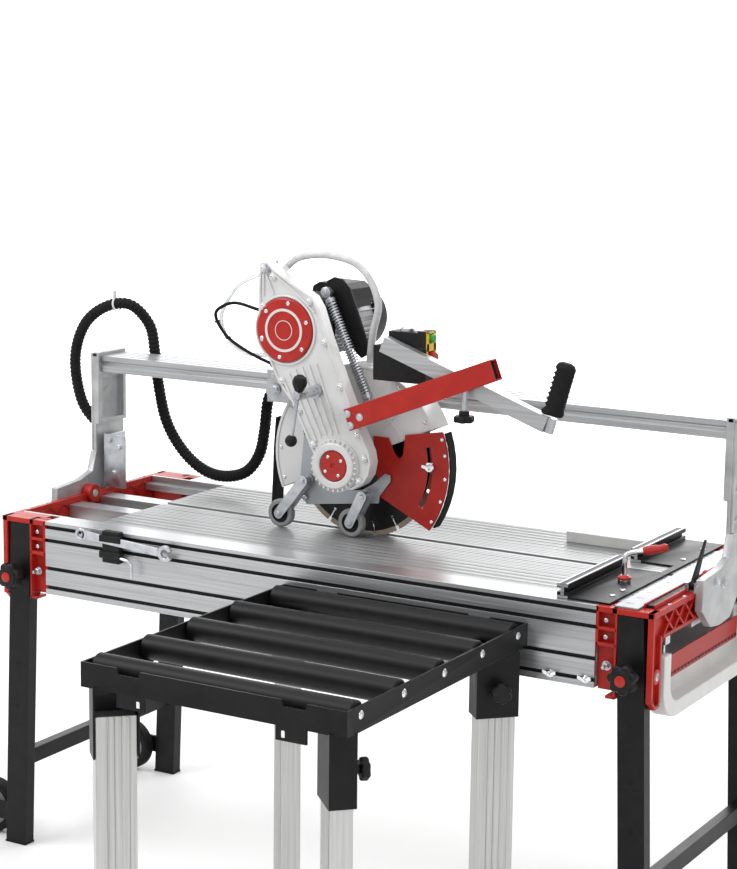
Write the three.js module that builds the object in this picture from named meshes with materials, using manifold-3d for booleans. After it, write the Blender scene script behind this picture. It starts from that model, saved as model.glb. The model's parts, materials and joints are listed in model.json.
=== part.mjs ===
// Bridge masonry saw with tilting bridge, plunging head and a roller extension table.
// Millimetres, +Z up. X runs along the cut, Y from the operator's side to the rear.
// While modelling, the floor is z = 0 and the cutting line is y = 0; the whole group is
// moved at the end so that its footprint is centred on the origin.
import * as THREE from 'three';
import { mergeVertices } from 'three/addons/utils/BufferGeometryUtils.js';
import Module from 'manifold-3d';

const wasm = await Module();
wasm.setup();

// ---------------------------------------------------------------- driving dimensions
const TABLE = 768;          // height of the table top
const HALF_LEN = 786;       // outer face of the end castings
const HALF_DEPTH = 307;     // outer face of the front and rear beams
const GAP = 0.4;            // clearance between pieces that touch
const SLOT = 9;             // half width of the blade slot
const BLADE_R = 175;        // 350 mm blade
const BLADE_DROP = 9;       // how far the blade dips below the table top
const BEAM_Z = 1048;        // underside of the bridge beam
const BEAM_H = 38;
const BEAM_Y = 52;          // front face of the bridge beam
const BEAM_D = 97;
const PIVOT = { x: -222, z: 1072 };                       // plunge axis of the head
const SPINDLE = { x: -30, z: TABLE - BLADE_DROP + BLADE_R };
const MOTOR = { x: -158, z: 1214 };                       // motor shaft axis
const CASE_Y = -120;        // front face of the belt cover
const LEAN = 0.038;         // outward lean of the stand legs, mm per mm of height
const ROLLER_TOP = 713;     // upper edge of the roller table's side plates

// ---------------------------------------------------------------- materials
const paint = (color, metalness = 0.2, roughness = 0.5) =>
  new THREE.MeshStandardMaterial({ color, metalness, roughness });
const RED = () => paint(0xb8321f);
const WHITE = () => paint(0xe2e1dd);
const BLACK = () => paint(0x1d1d1f, 0.1, 0.55);
const RUBBER = () => paint(0x161616, 0, 0.9);
const ALU = () => paint(0xc4c6c8, 0.85, 0.35);
const CAST = () => paint(0xb0b2b3, 0.7, 0.5);
const STEEL = () => paint(0xa9adb2, 0.9, 0.3);
const CHROME = () => paint(0xd8dade, 1, 0.12);
const TRAY = () => paint(0xecebe6, 0, 0.5);
const GREEN = () => paint(0x2f9a45, 0, 0.4);
const HOSE = () => paint(0x9a9a9c, 0, 0.6);

// ---------------------------------------------------------------- solids
const group = new THREE.Group();

function add(name, geometry, material) {
  const mesh = new THREE.Mesh(geometry, material);
  mesh.name = name;
  group.add(mesh);
  return mesh;
}

function solidOf(geometry) {
  let g = geometry.index ? geometry : geometry.clone();
  g = g.clone();
  g.deleteAttribute('normal');
  g.deleteAttribute('uv');
  g = mergeVertices(g, 1e-4);
  const mesh = new wasm.Mesh({
    numProp: 3,
    vertProperties: new Float32Array(g.attributes.position.array),
    triVerts: new Uint32Array(g.index.array),
  });
  return new wasm.Manifold(mesh);
}

function geometryOf(solid) {
  const mesh = solid.getMesh();
  const g = new THREE.BufferGeometry();
  g.setAttribute('position', new THREE.BufferAttribute(new Float32Array(mesh.vertProperties), 3));
  g.setIndex(new THREE.BufferAttribute(new Uint32Array(mesh.triVerts), 1));
  g.computeVertexNormals();
  return g;
}

function join(...parts) {
  return geometryOf(parts.map(solidOf).reduce((a, b) => a.add(b)));
}

function cut(base, ...tools) {
  return geometryOf(tools.map(solidOf).reduce((a, b) => a.subtract(b), solidOf(base)));
}

function box(x0, x1, y0, y1, z0, z1) {
  const g = new THREE.BoxGeometry(x1 - x0, y1 - y0, z1 - z0);
  return g.translate((x0 + x1) / 2, (y0 + y1) / 2, (z0 + z1) / 2);
}

function outline(points) {
  return new THREE.Shape(points.map(([a, b]) => new THREE.Vector2(a, b)));
}

// prisms: the outline lies in the plane named first and the solid runs along the other axis
function prismXZ(shape, y0, y1) {
  const g = new THREE.ExtrudeGeometry(shape, { depth: y1 - y0, bevelEnabled: false, curveSegments: 10 });
  return g.rotateX(Math.PI / 2).translate(0, y1, 0);
}

function prismYZ(shape, x0, x1) {
  const g = new THREE.ExtrudeGeometry(shape, { depth: x1 - x0, bevelEnabled: false, curveSegments: 5 });
  return g.rotateX(Math.PI / 2).rotateZ(Math.PI / 2).translate(x0, 0, 0);
}

function prismXY(shape, z0, z1) {
  const g = new THREE.ExtrudeGeometry(shape, { depth: z1 - z0, bevelEnabled: false, curveSegments: 10 });
  return g.translate(0, 0, z0);
}

// round bars along each axis
function barX(r, x0, x1, y, z, sides = 20) {
  const g = new THREE.CylinderGeometry(r, r, x1 - x0, sides);
  return g.rotateZ(-Math.PI / 2).translate((x0 + x1) / 2, y, z);
}

function barY(r, y0, y1, x, z, sides = 20) {
  const g = new THREE.CylinderGeometry(r, r, y1 - y0, sides);
  return g.translate(x, (y0 + y1) / 2, z);
}

function barZ(r, z0, z1, x, y, sides = 20) {
  const g = new THREE.CylinderGeometry(r, r, z1 - z0, sides).rotateX(Math.PI / 2);
  return g.translate(x, y, (z0 + z1) / 2);
}

// round bar between two points
function rod(r, a, b, sides = 12) {
  const from = new THREE.Vector3(...a);
  const to = new THREE.Vector3(...b);
  const dir = to.clone().sub(from);
  const g = new THREE.CylinderGeometry(r, r, dir.length(), sides);
  const turn = new THREE.Quaternion().setFromUnitVectors(new THREE.Vector3(0, 1, 0), dir.clone().normalize());
  return g.applyQuaternion(turn).translate(...from.add(to).multiplyScalar(0.5).toArray());
}

// turned piece about a Y axis through (x, z); profile is [radius, y] from axis to axis
function turnedY(profile, x, z, sides = 28) {
  const g = new THREE.LatheGeometry(profile.map(([r, y]) => new THREE.Vector2(r, y)), sides);
  return g.translate(x, 0, z);
}

function turnedX(profile, y, z, sides = 24) {
  const g = new THREE.LatheGeometry(profile.map(([r, x]) => new THREE.Vector2(r, x)), sides);
  return g.rotateZ(-Math.PI / 2).translate(0, y, z);
}

// outward-lobed hand knob outline
function lobes(radius, count, depth) {
  const points = [];
  for (let i = 0; i < count * 4; i++) {
    const angle = (i / (count * 4)) * Math.PI * 2;
    const r = radius - depth * (0.5 - 0.5 * Math.cos(count * angle));
    points.push([r * Math.cos(angle), r * Math.sin(angle)]);
  }
  return outline(points);
}

function hullOutline(circles, steps = 14) {
  const pts = [];
  for (const [x, y, r] of circles) {
    for (let i = 0; i < steps * 2; i++) {
      const a = (i / (steps * 2)) * Math.PI * 2;
      pts.push([x + r * Math.cos(a), y + r * Math.sin(a)]);
    }
  }
  pts.sort((p, q) => p[0] - q[0] || p[1] - q[1]);
  const turn = (o, a, b) => (a[0] - o[0]) * (b[1] - o[1]) - (a[1] - o[1]) * (b[0] - o[0]);
  const half = (list) => {
    const out = [];
    for (const p of list) {
      while (out.length > 1 && turn(out[out.length - 2], out[out.length - 1], p) <= 0.01) out.pop();
      out.push(p);
    }
    out.pop();
    return out;
  };
  return outline([...half(pts), ...half([...pts].reverse())]);
}

function arcPoints(cx, cz, r, from, to, steps) {
  const points = [];
  for (let i = 0; i <= steps; i++) {
    const a = THREE.MathUtils.degToRad(from + ((to - from) * i) / steps);
    points.push([cx + r * Math.cos(a), cz + r * Math.sin(a)]);
  }
  return points;
}

function tube(points, radius, sides = 10, steps = 48) {
  const path = new THREE.CatmullRomCurve3(points.map((p) => new THREE.Vector3(...p)), false, 'centripetal');
  const ring = [];
  for (let i = 0; i < sides; i++) {
    const a = (i / sides) * Math.PI * 2;
    ring.push([radius * Math.cos(a), radius * Math.sin(a)]);
  }
  return new THREE.ExtrudeGeometry(outline(ring), { steps, extrudePath: path, bevelEnabled: false });
}

// ---------------------------------------------------------------- bed
const CASTING_FOOT = 574;
const LATTICE_BOTTOM = 712;
const TRAY_TOP = 670;

function endCasting(side) {
  const flip = (g) => (side < 0 ? g.rotateZ(Math.PI) : g);
  const wall = outline([
    [-HALF_DEPTH, CASTING_FOOT + 20], [-HALF_DEPTH + 20, CASTING_FOOT], [-262, CASTING_FOOT],
    [-262, LATTICE_BOTTOM - 40], [-222, LATTICE_BOTTOM], [222, LATTICE_BOTTOM], [262, LATTICE_BOTTOM - 40],
    [262, CASTING_FOOT], [HALF_DEPTH - 20, CASTING_FOOT], [HALF_DEPTH, CASTING_FOOT + 20],
    [HALF_DEPTH, TABLE], [-HALF_DEPTH, TABLE],
  ]);
  const parts = [prismYZ(wall, 774, HALF_LEN), box(774, HALF_LEN + 2, -HALF_DEPTH, HALF_DEPTH, TABLE - 11, TABLE)];
  for (const s of [-1, 1]) {
    const near = Math.min(s * 250, s * HALF_DEPTH);
    const far = Math.max(s * 250, s * HALF_DEPTH);
    parts.push(box(690, 780, near, far, CASTING_FOOT + 14, TABLE));
    parts.push(box(667, 695, near, far, 690, TABLE));
  }
  let body = join(...parts);
  const pockets = [];
  for (const s of [-1, 1]) {
    const mouth = s < 0 ? [-400, -HALF_DEPTH + 33] : [HALF_DEPTH - 33, 400];
    const channel = outline([
      [706 + 4.6, 500], [772.6, 500], [768.5, TABLE - 11.4], [706, TABLE - 11.4],
    ]);
    pockets.push(prismXZ(channel, mouth[0], mouth[1]));
    pockets.push(box(672, 690, s < 0 ? -400 : HALF_DEPTH - 20, s < 0 ? -HALF_DEPTH + 20 : 400, 712, 758));
  }
  body = cut(join(body, barX(20, 762, HALF_LEN + 2, 0, TABLE)), ...pockets, barX(9.6, 740, 800, 0, TABLE));
  return flip(body);
}
add('end_casting_left', endCasting(-1), RED());
add('end_casting_right', endCasting(1), RED());

// hollow-backed beam with four T-slots along its outer face and a ledge for the table plate
function bedBeam(side) {
  const y = (v) => side * v;
  const outerFace = [];
  for (const z of [756, 726, 663, 620]) {
    outerFace.push([HALF_DEPTH, z + 4], [HALF_DEPTH - 4, z + 4], [HALF_DEPTH - 4, z + 8], [HALF_DEPTH - 10, z + 8]);
    outerFace.push([HALF_DEPTH - 10, z - 8], [HALF_DEPTH - 4, z - 8], [HALF_DEPTH - 4, z - 4], [HALF_DEPTH, z - 4]);
  }
  const profile = [
    [242, TABLE], [HALF_DEPTH, TABLE], ...outerFace, [HALF_DEPTH, 604], [252, 604], [252, 612],
    [HALF_DEPTH - 22, 612], [HALF_DEPTH - 22, 738], [216, 738], [216, TABLE - 14], [242, TABLE - 14],
  ];
  const full = prismYZ(outline(profile.map(([a, b]) => [y(a), b])), -773.5, 773.5);
  const corner = (s) => {
    const range = [side * 249.5, side * 400].sort((a, b) => a - b);
    return s > 0 ? box(666.5, 800, ...range, 500, 800) : box(-800, -666.5, ...range, 500, 800);
  };
  return cut(full, corner(-1), corner(1));
}
add('front_beam', bedBeam(-1), ALU());
add('rear_beam', bedBeam(1), ALU());

const railProfile = outline([
  [-84, 690], [84, 690], [84, TABLE - 14.4], [36, TABLE - 14.4], [36, 706], [-36, 706],
  [-36, TABLE - 14.4], [-84, TABLE - 14.4],
]);
add('centre_rail', prismYZ(railProfile, -773.5, 773.5), ALU());

function tablePlate(side) {
  const points = [[241.5, TABLE - 13.6], [241.5, TABLE]];
  for (let y = 220; y > 30; y -= 24) {
    points.push([y, TABLE], [y, TABLE - 2], [y - 3, TABLE - 2], [y - 3, TABLE]);
  }
  points.push([SLOT, TABLE], [SLOT, TABLE - 13.6]);
  return prismYZ(outline(points.map(([a, b]) => [side * a, b])), -560, 700);
}
add('table_plate_front', tablePlate(-1), ALU());
add('table_plate_rear', tablePlate(1), ALU());

// water tray: a trough with a thick rolled rim at its right end
function waterTray() {
  const u = (halfWidth, bottom, r, top) => {
    const s = new THREE.Shape();
    s.moveTo(-halfWidth, top);
    s.lineTo(-halfWidth, bottom + r);
    s.absarc(-halfWidth + r, bottom + r, r, Math.PI, Math.PI * 1.5, false);
    s.lineTo(halfWidth - r, bottom);
    s.absarc(halfWidth - r, bottom + r, r, Math.PI * 1.5, Math.PI * 2, false);
    s.lineTo(halfWidth, top);
    s.closePath();
    return s;
  };
  const shell = join(prismYZ(u(236, 588, 50, TRAY_TOP), -700, 750), prismYZ(u(246, 536, 66, TRAY_TOP), 749, 787));
  const hollow = prismYZ(u(228, 596, 44, TRAY_TOP + 20), -692, 744);
  const mouth = prismYZ(u(214, 566, 44, TRAY_TOP + 20), 752, 900);
  return cut(shell, hollow, mouth, box(730, 800, -206, 206, 640, 700));
}
add('water_tray', waterTray(), TRAY());

// ---------------------------------------------------------------- stand
const LEG_W = 56;
const WHEEL = { x: -860, y: 262, z: 64, r: 62.5 };
const KNOB = { x: HALF_LEN + 7.5 - LEG_W / 2 - LEAN * 641, z: 641 };

function standFrame(side) {
  const foot = HALF_LEN + 7.5;
  const top = TABLE - 12.5;
  const leg = (y0, y1) => prismXZ(outline([
    [foot - LEG_W, 0], [foot, 0], [foot - LEAN * top, top], [foot - LEG_W - LEAN * top, top],
  ]), y0, y1);
  const middle = (z) => foot - LEG_W / 2 - LEAN * z;
  const parts = [
    leg(-HALF_DEPTH + 1, -HALF_DEPTH + 31), leg(HALF_DEPTH - 31, HALF_DEPTH - 1),
    box(middle(200) - 12, middle(200) + 12, -290, 290, 182, 218),
  ];
  if (side < 0) {
    for (const s of [-1, 1]) {
      parts.push(box(775, 878, s * 290 - 4, s * 290 + 4, 46, 88));
      parts.push(barY(8, s < 0 ? -292 : WHEEL.y - 24, s < 0 ? -WHEEL.y + 24 : 292, -WHEEL.x, WHEEL.z, 12));
    }
  }
  const holes = [-1, 1].map((s) => barY(6.8, s * 290 - 30, s * 290 + 30, KNOB.x, KNOB.z, 12));
  const frame = cut(join(...parts), ...holes);
  return side < 0 ? frame.rotateZ(Math.PI) : frame;
}
add('stand_frame_left', standFrame(-1), BLACK());
add('stand_frame_right', standFrame(1), BLACK());

function transportWheel() {
  const half = 18;
  const r = WHEEL.r;
  return [
    [8.5, -half], [26, -half], [26, -half + 6], [r - 16, -half + 6], [r - 16, -half + 2], [r - 4, -half + 2],
    [r, -half + 6], [r, half - 6], [r - 4, half - 2], [r - 16, half - 2], [r - 16, half - 6], [26, half - 6],
    [26, half], [8.5, half], [8.5, -half],
  ];
}
for (const [name, s] of [['transport_wheel_front', -1], ['transport_wheel_rear', 1]]) {
  const wheel = turnedY(transportWheel(), WHEEL.x, WHEEL.z, 20).translate(0, s * WHEEL.y, 0);
  add(name, wheel, RUBBER());
}

function standKnob(side) {
  const head = prismXZ(lobes(31, 7, 5), -HALF_DEPTH - 44, -HALF_DEPTH - 20);
  head.translate(side * KNOB.x, 0, KNOB.z);
  const neck = barY(14, -HALF_DEPTH - 22, -HALF_DEPTH + 0.5, side * KNOB.x, KNOB.z, 16);
  const stem = barY(6.2, -HALF_DEPTH - 10, -HALF_DEPTH + 30, side * KNOB.x, KNOB.z, 12);
  return join(head, neck, stem);
}
add('stand_knob_left', standKnob(-1), BLACK());
add('stand_knob_right', standKnob(1), BLACK());

// ---------------------------------------------------------------- tilting bridge
const UPRIGHT_TOP = 1094;
const CLEAR_OF_CASTING = 924;

function upright(side) {
  const foot = outline([
    [-108, TABLE + 26], [-112, TABLE - 36], [-62, TABLE - 78], [-20, TABLE - 84], [40, TABLE - 80],
    [98, TABLE - 24], [149, TABLE + 34], [149, TABLE + 90], [41, TABLE + 90], [26, TABLE + 46], [-20, TABLE + 32],
  ]);
  // the column keeps clear of the end casting while the bridge tilts, and thickens above it
  const column = box(HALF_LEN + 2.5, 797, 41, 149, TABLE + 60, UPRIGHT_TOP);
  const thick = box(780, 797, 41, 149, CLEAR_OF_CASTING, UPRIGHT_TOP);
  const recess = box(770, 790, 55, 137, CLEAR_OF_CASTING + 10, BEAM_Z - 14);
  const body = cut(join(prismYZ(foot, HALF_LEN + 2.5, 806), column, thick), recess);
  const pin = barX(9, 760, 812, 0, TABLE);
  const whole = join(body, pin);
  return side < 0 ? whole.scale(-1, 1, 1) : whole;
}

function mirrored(geometry) {
  const g = geometry.index ? geometry.toNonIndexed() : geometry;
  const p = g.attributes.position.array;
  for (let i = 0; i < p.length; i += 9) {
    for (let k = 0; k < 3; k++) [p[i + k], p[i + 3 + k]] = [p[i + 3 + k], p[i + k]];
  }
  return g;
}
add('upright_left', mirrored(upright(-1)), CAST());
add('upright_right', upright(1), CAST());

const beamProfile = outline([
  [BEAM_Y, BEAM_Z], [BEAM_Y, BEAM_Z + 14], [BEAM_Y + 4, BEAM_Z + 17], [BEAM_Y + 4, BEAM_Z + 23],
  [BEAM_Y, BEAM_Z + 26], [BEAM_Y, BEAM_Z + BEAM_H], [BEAM_Y + BEAM_D, BEAM_Z + BEAM_H],
  [BEAM_Y + BEAM_D, BEAM_Z + 26], [BEAM_Y + BEAM_D - 4, BEAM_Z + 23], [BEAM_Y + BEAM_D - 4, BEAM_Z + 17],
  [BEAM_Y + BEAM_D, BEAM_Z + 14], [BEAM_Y + BEAM_D, BEAM_Z],
]);
add('bridge_beam', prismYZ(beamProfile, -779.5, 779.5), ALU());

// angle plate on the left casting that takes the tilt lock
add('tilt_bracket', cut(
  join(
    box(-778, -774, 58, 136, TABLE + GAP, TABLE + 128), box(-786, -774, 58, 136, TABLE + GAP, TABLE + 4.4),
    box(-778, -716, 56, 60, TABLE + 6, TABLE + 132),
  ),
  barX(6, -790, -770, 96, TABLE + 66, 12),
), STEEL());

// flat cam lever on the right casting that clamps the tilt
function tiltLever() {
  const hub = barX(10, 776, 787, -104, TABLE + 13, 18);
  const blade = prismYZ(outline([
    [-112, TABLE + 10], [-96, TABLE + 8], [-72, TABLE + 44], [-46, TABLE + 94], [-74, TABLE + 66], [-104, TABLE + 34],
  ]), 779, 784);
  return join(hub, blade);
}
add('tilt_lock_lever', tiltLever(), BLACK());

// ---------------------------------------------------------------- carriage
function carriage() {
  const block = box(-308, -40, 40, 160, BEAM_Z - 24, BEAM_Z + BEAM_H + 10);
  const hollow = box(-400, 60, BEAM_Y - 2, BEAM_Y + BEAM_D + 2, BEAM_Z - 2, BEAM_Z + BEAM_H + 2);
  const boss = barY(27, -9, 41, PIVOT.x, PIVOT.z, 24);
  const pin = barY(10, -60, 0, PIVOT.x, PIVOT.z, 16);
  const gland = box(-309.5, -270, 159, 198, BEAM_Z - 8, BEAM_Z + 32);
  return join(cut(join(block, boss), hollow), pin, gland);
}
add('carriage', carriage(), CAST());

// ---------------------------------------------------------------- head
const PLATE = { y0: -57.6, y1: -48 };

function headFrame() {
  const web = hullOutline([[MOTOR.x, MOTOR.z, 54], [SPINDLE.x, SPINDLE.z, 44]]);
  const pivotArm = hullOutline([[PIVOT.x, PIVOT.z, 27], [-110, 1110, 30]]);
  const plate = join(prismXZ(web, PLATE.y0, PLATE.y1), prismXZ(pivotArm, PLATE.y0, PLATE.y1));
  const boss = barY(27, PLATE.y1 - 1, -9.6, PIVOT.x, PIVOT.z, 24);
  return cut(
    join(plate, boss),
    barY(10.4, -80, 0, PIVOT.x, PIVOT.z, 16),
    barY(16, -80, -40, MOTOR.x, MOTOR.z, 20),
    barY(16, -80, -40, SPINDLE.x, SPINDLE.z, 20),
  );
}
add('head_frame', headFrame(), CAST());

// belt cover: a wide front flange, a narrower rear part, and a cavity shaped round the belt
const coverOutline = outline([
  [-223, 1354], [-204, 1357], [-186, 1341], [-123, 1306], [-92, 1290], [-76, 1267], [-52, 1201], [-8, 1099],
  [36, 1002], [52, 972], [57, 948], [52, 920], [37, 899], [14, 886], [-14, 881], [-42, 886], [-62, 901],
  [-75, 922], [-83, 950], [-99, 980], [-111, 1003], [-124, 1030], [-140, 1060], [-158, 1080], [-178, 1106],
  [-196, 1142], [-214, 1174], [-225, 1220], [-226, 1295],
]);
const COVER_STEP = -92;     // Y where the front flange ends

function beltCover() {
  const rear = hullOutline([[MOTOR.x, MOTOR.z, 60], [SPINDLE.x, SPINDLE.z, 44], [-205, 1338, 12]]);
  const cavity = hullOutline([[MOTOR.x, MOTOR.z, 40], [SPINDLE.x, SPINDLE.z, 36.7]]);
  const ear = barY(24, CASE_Y, COVER_STEP, 22, 1040, 20);
  const body = join(prismXZ(coverOutline, CASE_Y, COVER_STEP), prismXZ(rear, COVER_STEP - 1, -58), ear);
  return cut(body, prismXZ(cavity, CASE_Y + 7, -40));
}
add('belt_cover', beltCover(), WHITE());

add('motor_cap', turnedY([[0, -128], [40, -128], [46, -125], [69, -123], [69, -120.4], [0, -120.4]],
  MOTOR.x, MOTOR.z, 30), RED());
add('spindle_cap', turnedY([[0, -130], [26, -130], [33, -126], [33, -120.4], [0, -120.4]],
  SPINDLE.x, SPINDLE.z, 22), RED());

function motorBody() {
  const barrel = turnedY([[0, -47.5], [66, -47.5], [66, -40], [72, -38], [72, 150], [70, 156], [70, 192],
    [60, 204], [0, 204]], MOTOR.x, MOTOR.z, 28);
  const terminal = box(MOTOR.x - 20, MOTOR.x + 78, 20, 110, MOTOR.z + 30, MOTOR.z + 92);
  return join(barrel, terminal);
}
add('motor', motorBody(), BLACK());

function pulley(radius, centre, shaftEnd) {
  const y = -96;
  return turnedY([
    [0, y - 12], [radius, y - 12], [radius, y + 12], [11, y + 12], [11, shaftEnd], [0, shaftEnd],
  ], centre.x, centre.z, 24);
}
add('motor_pulley', pulley(26, MOTOR, -48.4), STEEL());

function spindle() {
  const y = -96;
  return turnedY([
    [0, y - 12], [28, y - 12], [28, y + 12], [12, y + 12], [12, -12], [40, -12], [40, -2],
    [12, -2], [12, 2.1], [38, 2.1], [36, 10], [16, 10], [16, 22], [0, 22],
  ], SPINDLE.x, SPINDLE.z, 22);
}
add('spindle', spindle(), STEEL());

function driveBelt() {
  const loop = (grow) => hullOutline([[MOTOR.x, MOTOR.z, 26.5 + grow], [SPINDLE.x, SPINDLE.z, 28.5 + grow]], 10);
  return cut(prismXZ(loop(5), -105, -88), prismXZ(loop(0), -120, -70));
}
add('drive_belt', driveBelt(), RUBBER());

add('blade', turnedY([
  [12.5, -1.7], [BLADE_R, -1.7], [BLADE_R, 1.7], [12.5, 1.7], [12.5, -1.7],
], SPINDLE.x, SPINDLE.z, 48), BLACK());

// ---------------------------------------------------------------- guards
const GUARD_R = 206;

function sector(r0, r1, from, to, steps) {
  return outline([
    ...arcPoints(SPINDLE.x, SPINDLE.z, r1, from, to, steps),
    ...arcPoints(SPINDLE.x, SPINDLE.z, r0, to, from, steps),
  ]);
}

function bladeGuard() {
  const shell = prismXZ(sector(46, GUARD_R, 24, 204, 22), -34, 36);
  const hollow = prismXZ(sector(20, GUARD_R - 7, 10, 216, 24), -29, 31);
  return cut(shell, hollow);
}
add('blade_guard', bladeGuard(), WHITE());

function guardFlap() {
  const c = SPINDLE;
  const at = (x, z) => [c.x + x, c.z + z];
  const plate = outline([
    at(62, -74), ...arcPoints(c.x, c.z, 229, -36, 21, 12), at(123, 66), at(118, 22), at(110, 12), at(98, 22),
    at(82, 56), at(44, 56),
  ]);
  const slot = sector(178, 190, -28, 14, 8);
  return cut(prismXZ(plate, -41, -37), prismXZ(slot, -50, -30));
}
add('guard_flap', guardFlap(), RED());
add('guard_rubber', prismXZ(sector(231, 235, -33, 20, 8), -41, -14), RUBBER());
add('splash_flap', prismXZ(outline([
  [-248, 797], [-243, 796], [-240, 870], [-238, 934], [-233, 1004], [-238, 1006], [-243, 936], [-245, 870],
]), -34, 8), RUBBER());

// ---------------------------------------------------------------- guide wheels
const GUIDE = [{ x: -202, z: 800.5 }, { x: -22, z: 800.5 }];
const GUIDE_R = 31;

function wheelBracket() {
  const plate = outline([
    [-150, 1038], [-113, 1040], [-124, 985], [-125, 936], [-112, 902], [-84, 876], [-46, 866], [-8, 870],
    [22, 888], [48, 912], [62, 910], [62, 896], [36, 862], [34, 846], [-148, 823], [-166, 858],
  ]);
  const arm = (from, to) => prismXZ(hullOutline([[from[0], from[1], 13], [to.x, to.z, 11]], 8), -53, -45);
  const axle = (wheel) => barY(5, -74, -46, wheel.x, wheel.z, 12);
  return join(
    prismXZ(plate, -47.6, -43.6), arm([-141, 880], GUIDE[0]), arm([8, 862], GUIDE[1]), ...GUIDE.map(axle),
  );
}
add('wheel_bracket', wheelBracket(), STEEL());

const guideProfile = [
  [5.5, -72], [14, -72], [14, -69], [22, -69], [25, -72], [GUIDE_R - 2, -72], [GUIDE_R, -69], [GUIDE_R, -57],
  [GUIDE_R - 2, -54], [5.5, -54], [5.5, -72],
];
add('guide_wheel_left', turnedY(guideProfile, GUIDE[0].x, GUIDE[0].z, 18), RUBBER());
add('guide_wheel_right', turnedY(guideProfile, GUIDE[1].x, GUIDE[1].z, 18), RUBBER());

// ---------------------------------------------------------------- handle and controls
function balanceSpring() {
  const bar = prismXZ(hullOutline([[-108, 1290, 9], [6, 1056, 13]], 8), -47.4, -42);
  const coil = rod(12.5, [-82, -27, 1262], [-38, -27, 1172], 12);
  const lugs = [[-82, 1262], [-38, 1172]].map(([x, z]) => barY(6, -44, -24, x, z, 10));
  return join(bar, coil, ...lugs);
}
add('balance_spring', balanceSpring(), STEEL());

const ARM_KNOB = { x: 283, y: -135, z: 1082 };

function supportArm() {
  const side = outline([[6, 1062], [22, 1018], [362, 1154], [346, 1196]]);
  const block = prismXZ(side, -152, -120.5);
  const inner = prismXZ(outline([[14, 1052], [24, 1027], [380, 1169], [370, 1195]]), -146, -100);
  return cut(block, inner, barZ(6.6, 1090, 1136, ARM_KNOB.x, ARM_KNOB.y, 12));
}
add('support_arm', supportArm(), RED());

// square tube that slides in the support arm's channel, ending in a stub that carries the grip
const HANDLE = { y0: -120, y1: -96.6, y: -108 };

function handleTube() {
  const tube = outline([[84, 1218], [72, 1187], [452, 1054], [464, 1085]]);
  const stub = rod(10.5, [461, HANDLE.y, 1053], [469, HANDLE.y, 1083], 16);
  return join(prismXZ(tube, HANDLE.y0, HANDLE.y1), stub);
}
add('handle_tube', handleTube(), STEEL());

// pistol grip with finger grooves along its front edge
const gripOutline = outline([
  [443, 1098], [443, 1093], [464, 1088], [487, 1083], [495, 1092], [502, 1118], [508, 1144], [515, 1186], [501, 1198],
  [482, 1195], [474, 1188], [470, 1168], [474, 1150], [467, 1130], [458, 1112],
]);
add('handle_grip', prismXZ(gripOutline, HANDLE.y - 16, HANDLE.y + 16), RUBBER());

function armKnob() {
  const { x, y, z } = ARM_KNOB;
  const head = prismXY(lobes(22, 6, 4), z - 22, z).translate(x, y, 0);
  return join(head, barZ(6, z - 4, z + 54, x, y, 12));
}
add('arm_clamp_knob', armKnob(), BLACK());

// push buttons run in blind bores of the switch box, deep enough for their travel
const BUTTONS = {
  start: { z: 1217, r: 9, face: 168, proud: 10 },
  stop: { z: 1176, r: 13, face: 170, proud: 12 },
};
const BUTTON_Y = -72;
const BORE_DEPTH = 9;

function switchBox() {
  const bores = Object.values(BUTTONS).map(
    (b) => barX(b.r + 0.6, b.face - BORE_DEPTH, b.face + 5, BUTTON_Y, b.z, 16),
  );
  const body = join(
    box(44, 170, -96, -50, 1122, 1196), box(78, 150, -92, -52, 1190, 1228), box(148, 168, -94, -50, 1190, 1232),
  );
  return cut(body, ...bores);
}
add('switch_box', switchBox(), BLACK());

function pushButton({ z, r, face, proud }) {
  return barX(r, face - BORE_DEPTH + 4.5, face + proud, BUTTON_Y, z, 16);
}
add('start_button', pushButton(BUTTONS.start), GREEN());
add('stop_button', pushButton(BUTTONS.stop), RED());

function lockLever() {
  const x = -78;
  const z = 1090;
  const shaft = barY(11, -206, -120.5, x, z, 18);
  const bar = rod(5, [x + 2, -196, z + 18], [x - 16, -196, z - 92], 10);
  const pear = new THREE.SphereGeometry(16, 10, 7).translate(x + 3, -196, z + 26);
  const ball = new THREE.SphereGeometry(13, 10, 6).translate(x - 17, -196, z - 98);
  return join(shaft, bar, pear, ball);
}
add('plunge_lock_lever', lockLever(), STEEL());

// ---------------------------------------------------------------- fence
const FENCE_X = 576;
const DECK = TABLE + GAP;

function fence() {
  const rail = (y0, y1) => box(FENCE_X, FENCE_X + 24, y0, y1, DECK, DECK + 28);
  const plate = box(FENCE_X + 20, FENCE_X + 112, -293, 300, DECK, DECK + 4);
  const grooveRight = box(FENCE_X + 16, FENCE_X + 30, -400, 400, DECK + 12, DECK + 20);
  const grooveLeft = box(FENCE_X - 6, FENCE_X + 8, -400, 400, DECK + 12, DECK + 20);
  const bladeGap = box(FENCE_X - 10, FENCE_X + 120, -12, 60, DECK - 1, DECK + 40);
  const link = box(FENCE_X + 96, FENCE_X + 112, -14, 62, DECK, DECK + 4);
  return join(cut(join(rail(-293, 300), plate), grooveLeft, grooveRight, bladeGap), link);
}
add('fence', fence(), BLACK());
add('scale_bar', box(702, 750, -300, 300, DECK, DECK + 4), ALU());

function fenceClamp() {
  const x = FENCE_X + 66;
  const base = barZ(13, DECK + 4.4, DECK + 12, x, -120, 18);
  const post = barZ(5, DECK + 10, DECK + 52, x, -120, 12);
  const arm = rod(5, [x, -120, DECK + 50], [x + 34, -102, DECK + 62], 12);
  const grip = rod(9, [x + 30, -104, DECK + 60.6], [x + 78, -78, DECK + 76], 14);
  return join(base, post, arm, grip);
}
add('fence_clamp', fenceClamp(), CHROME());

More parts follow.
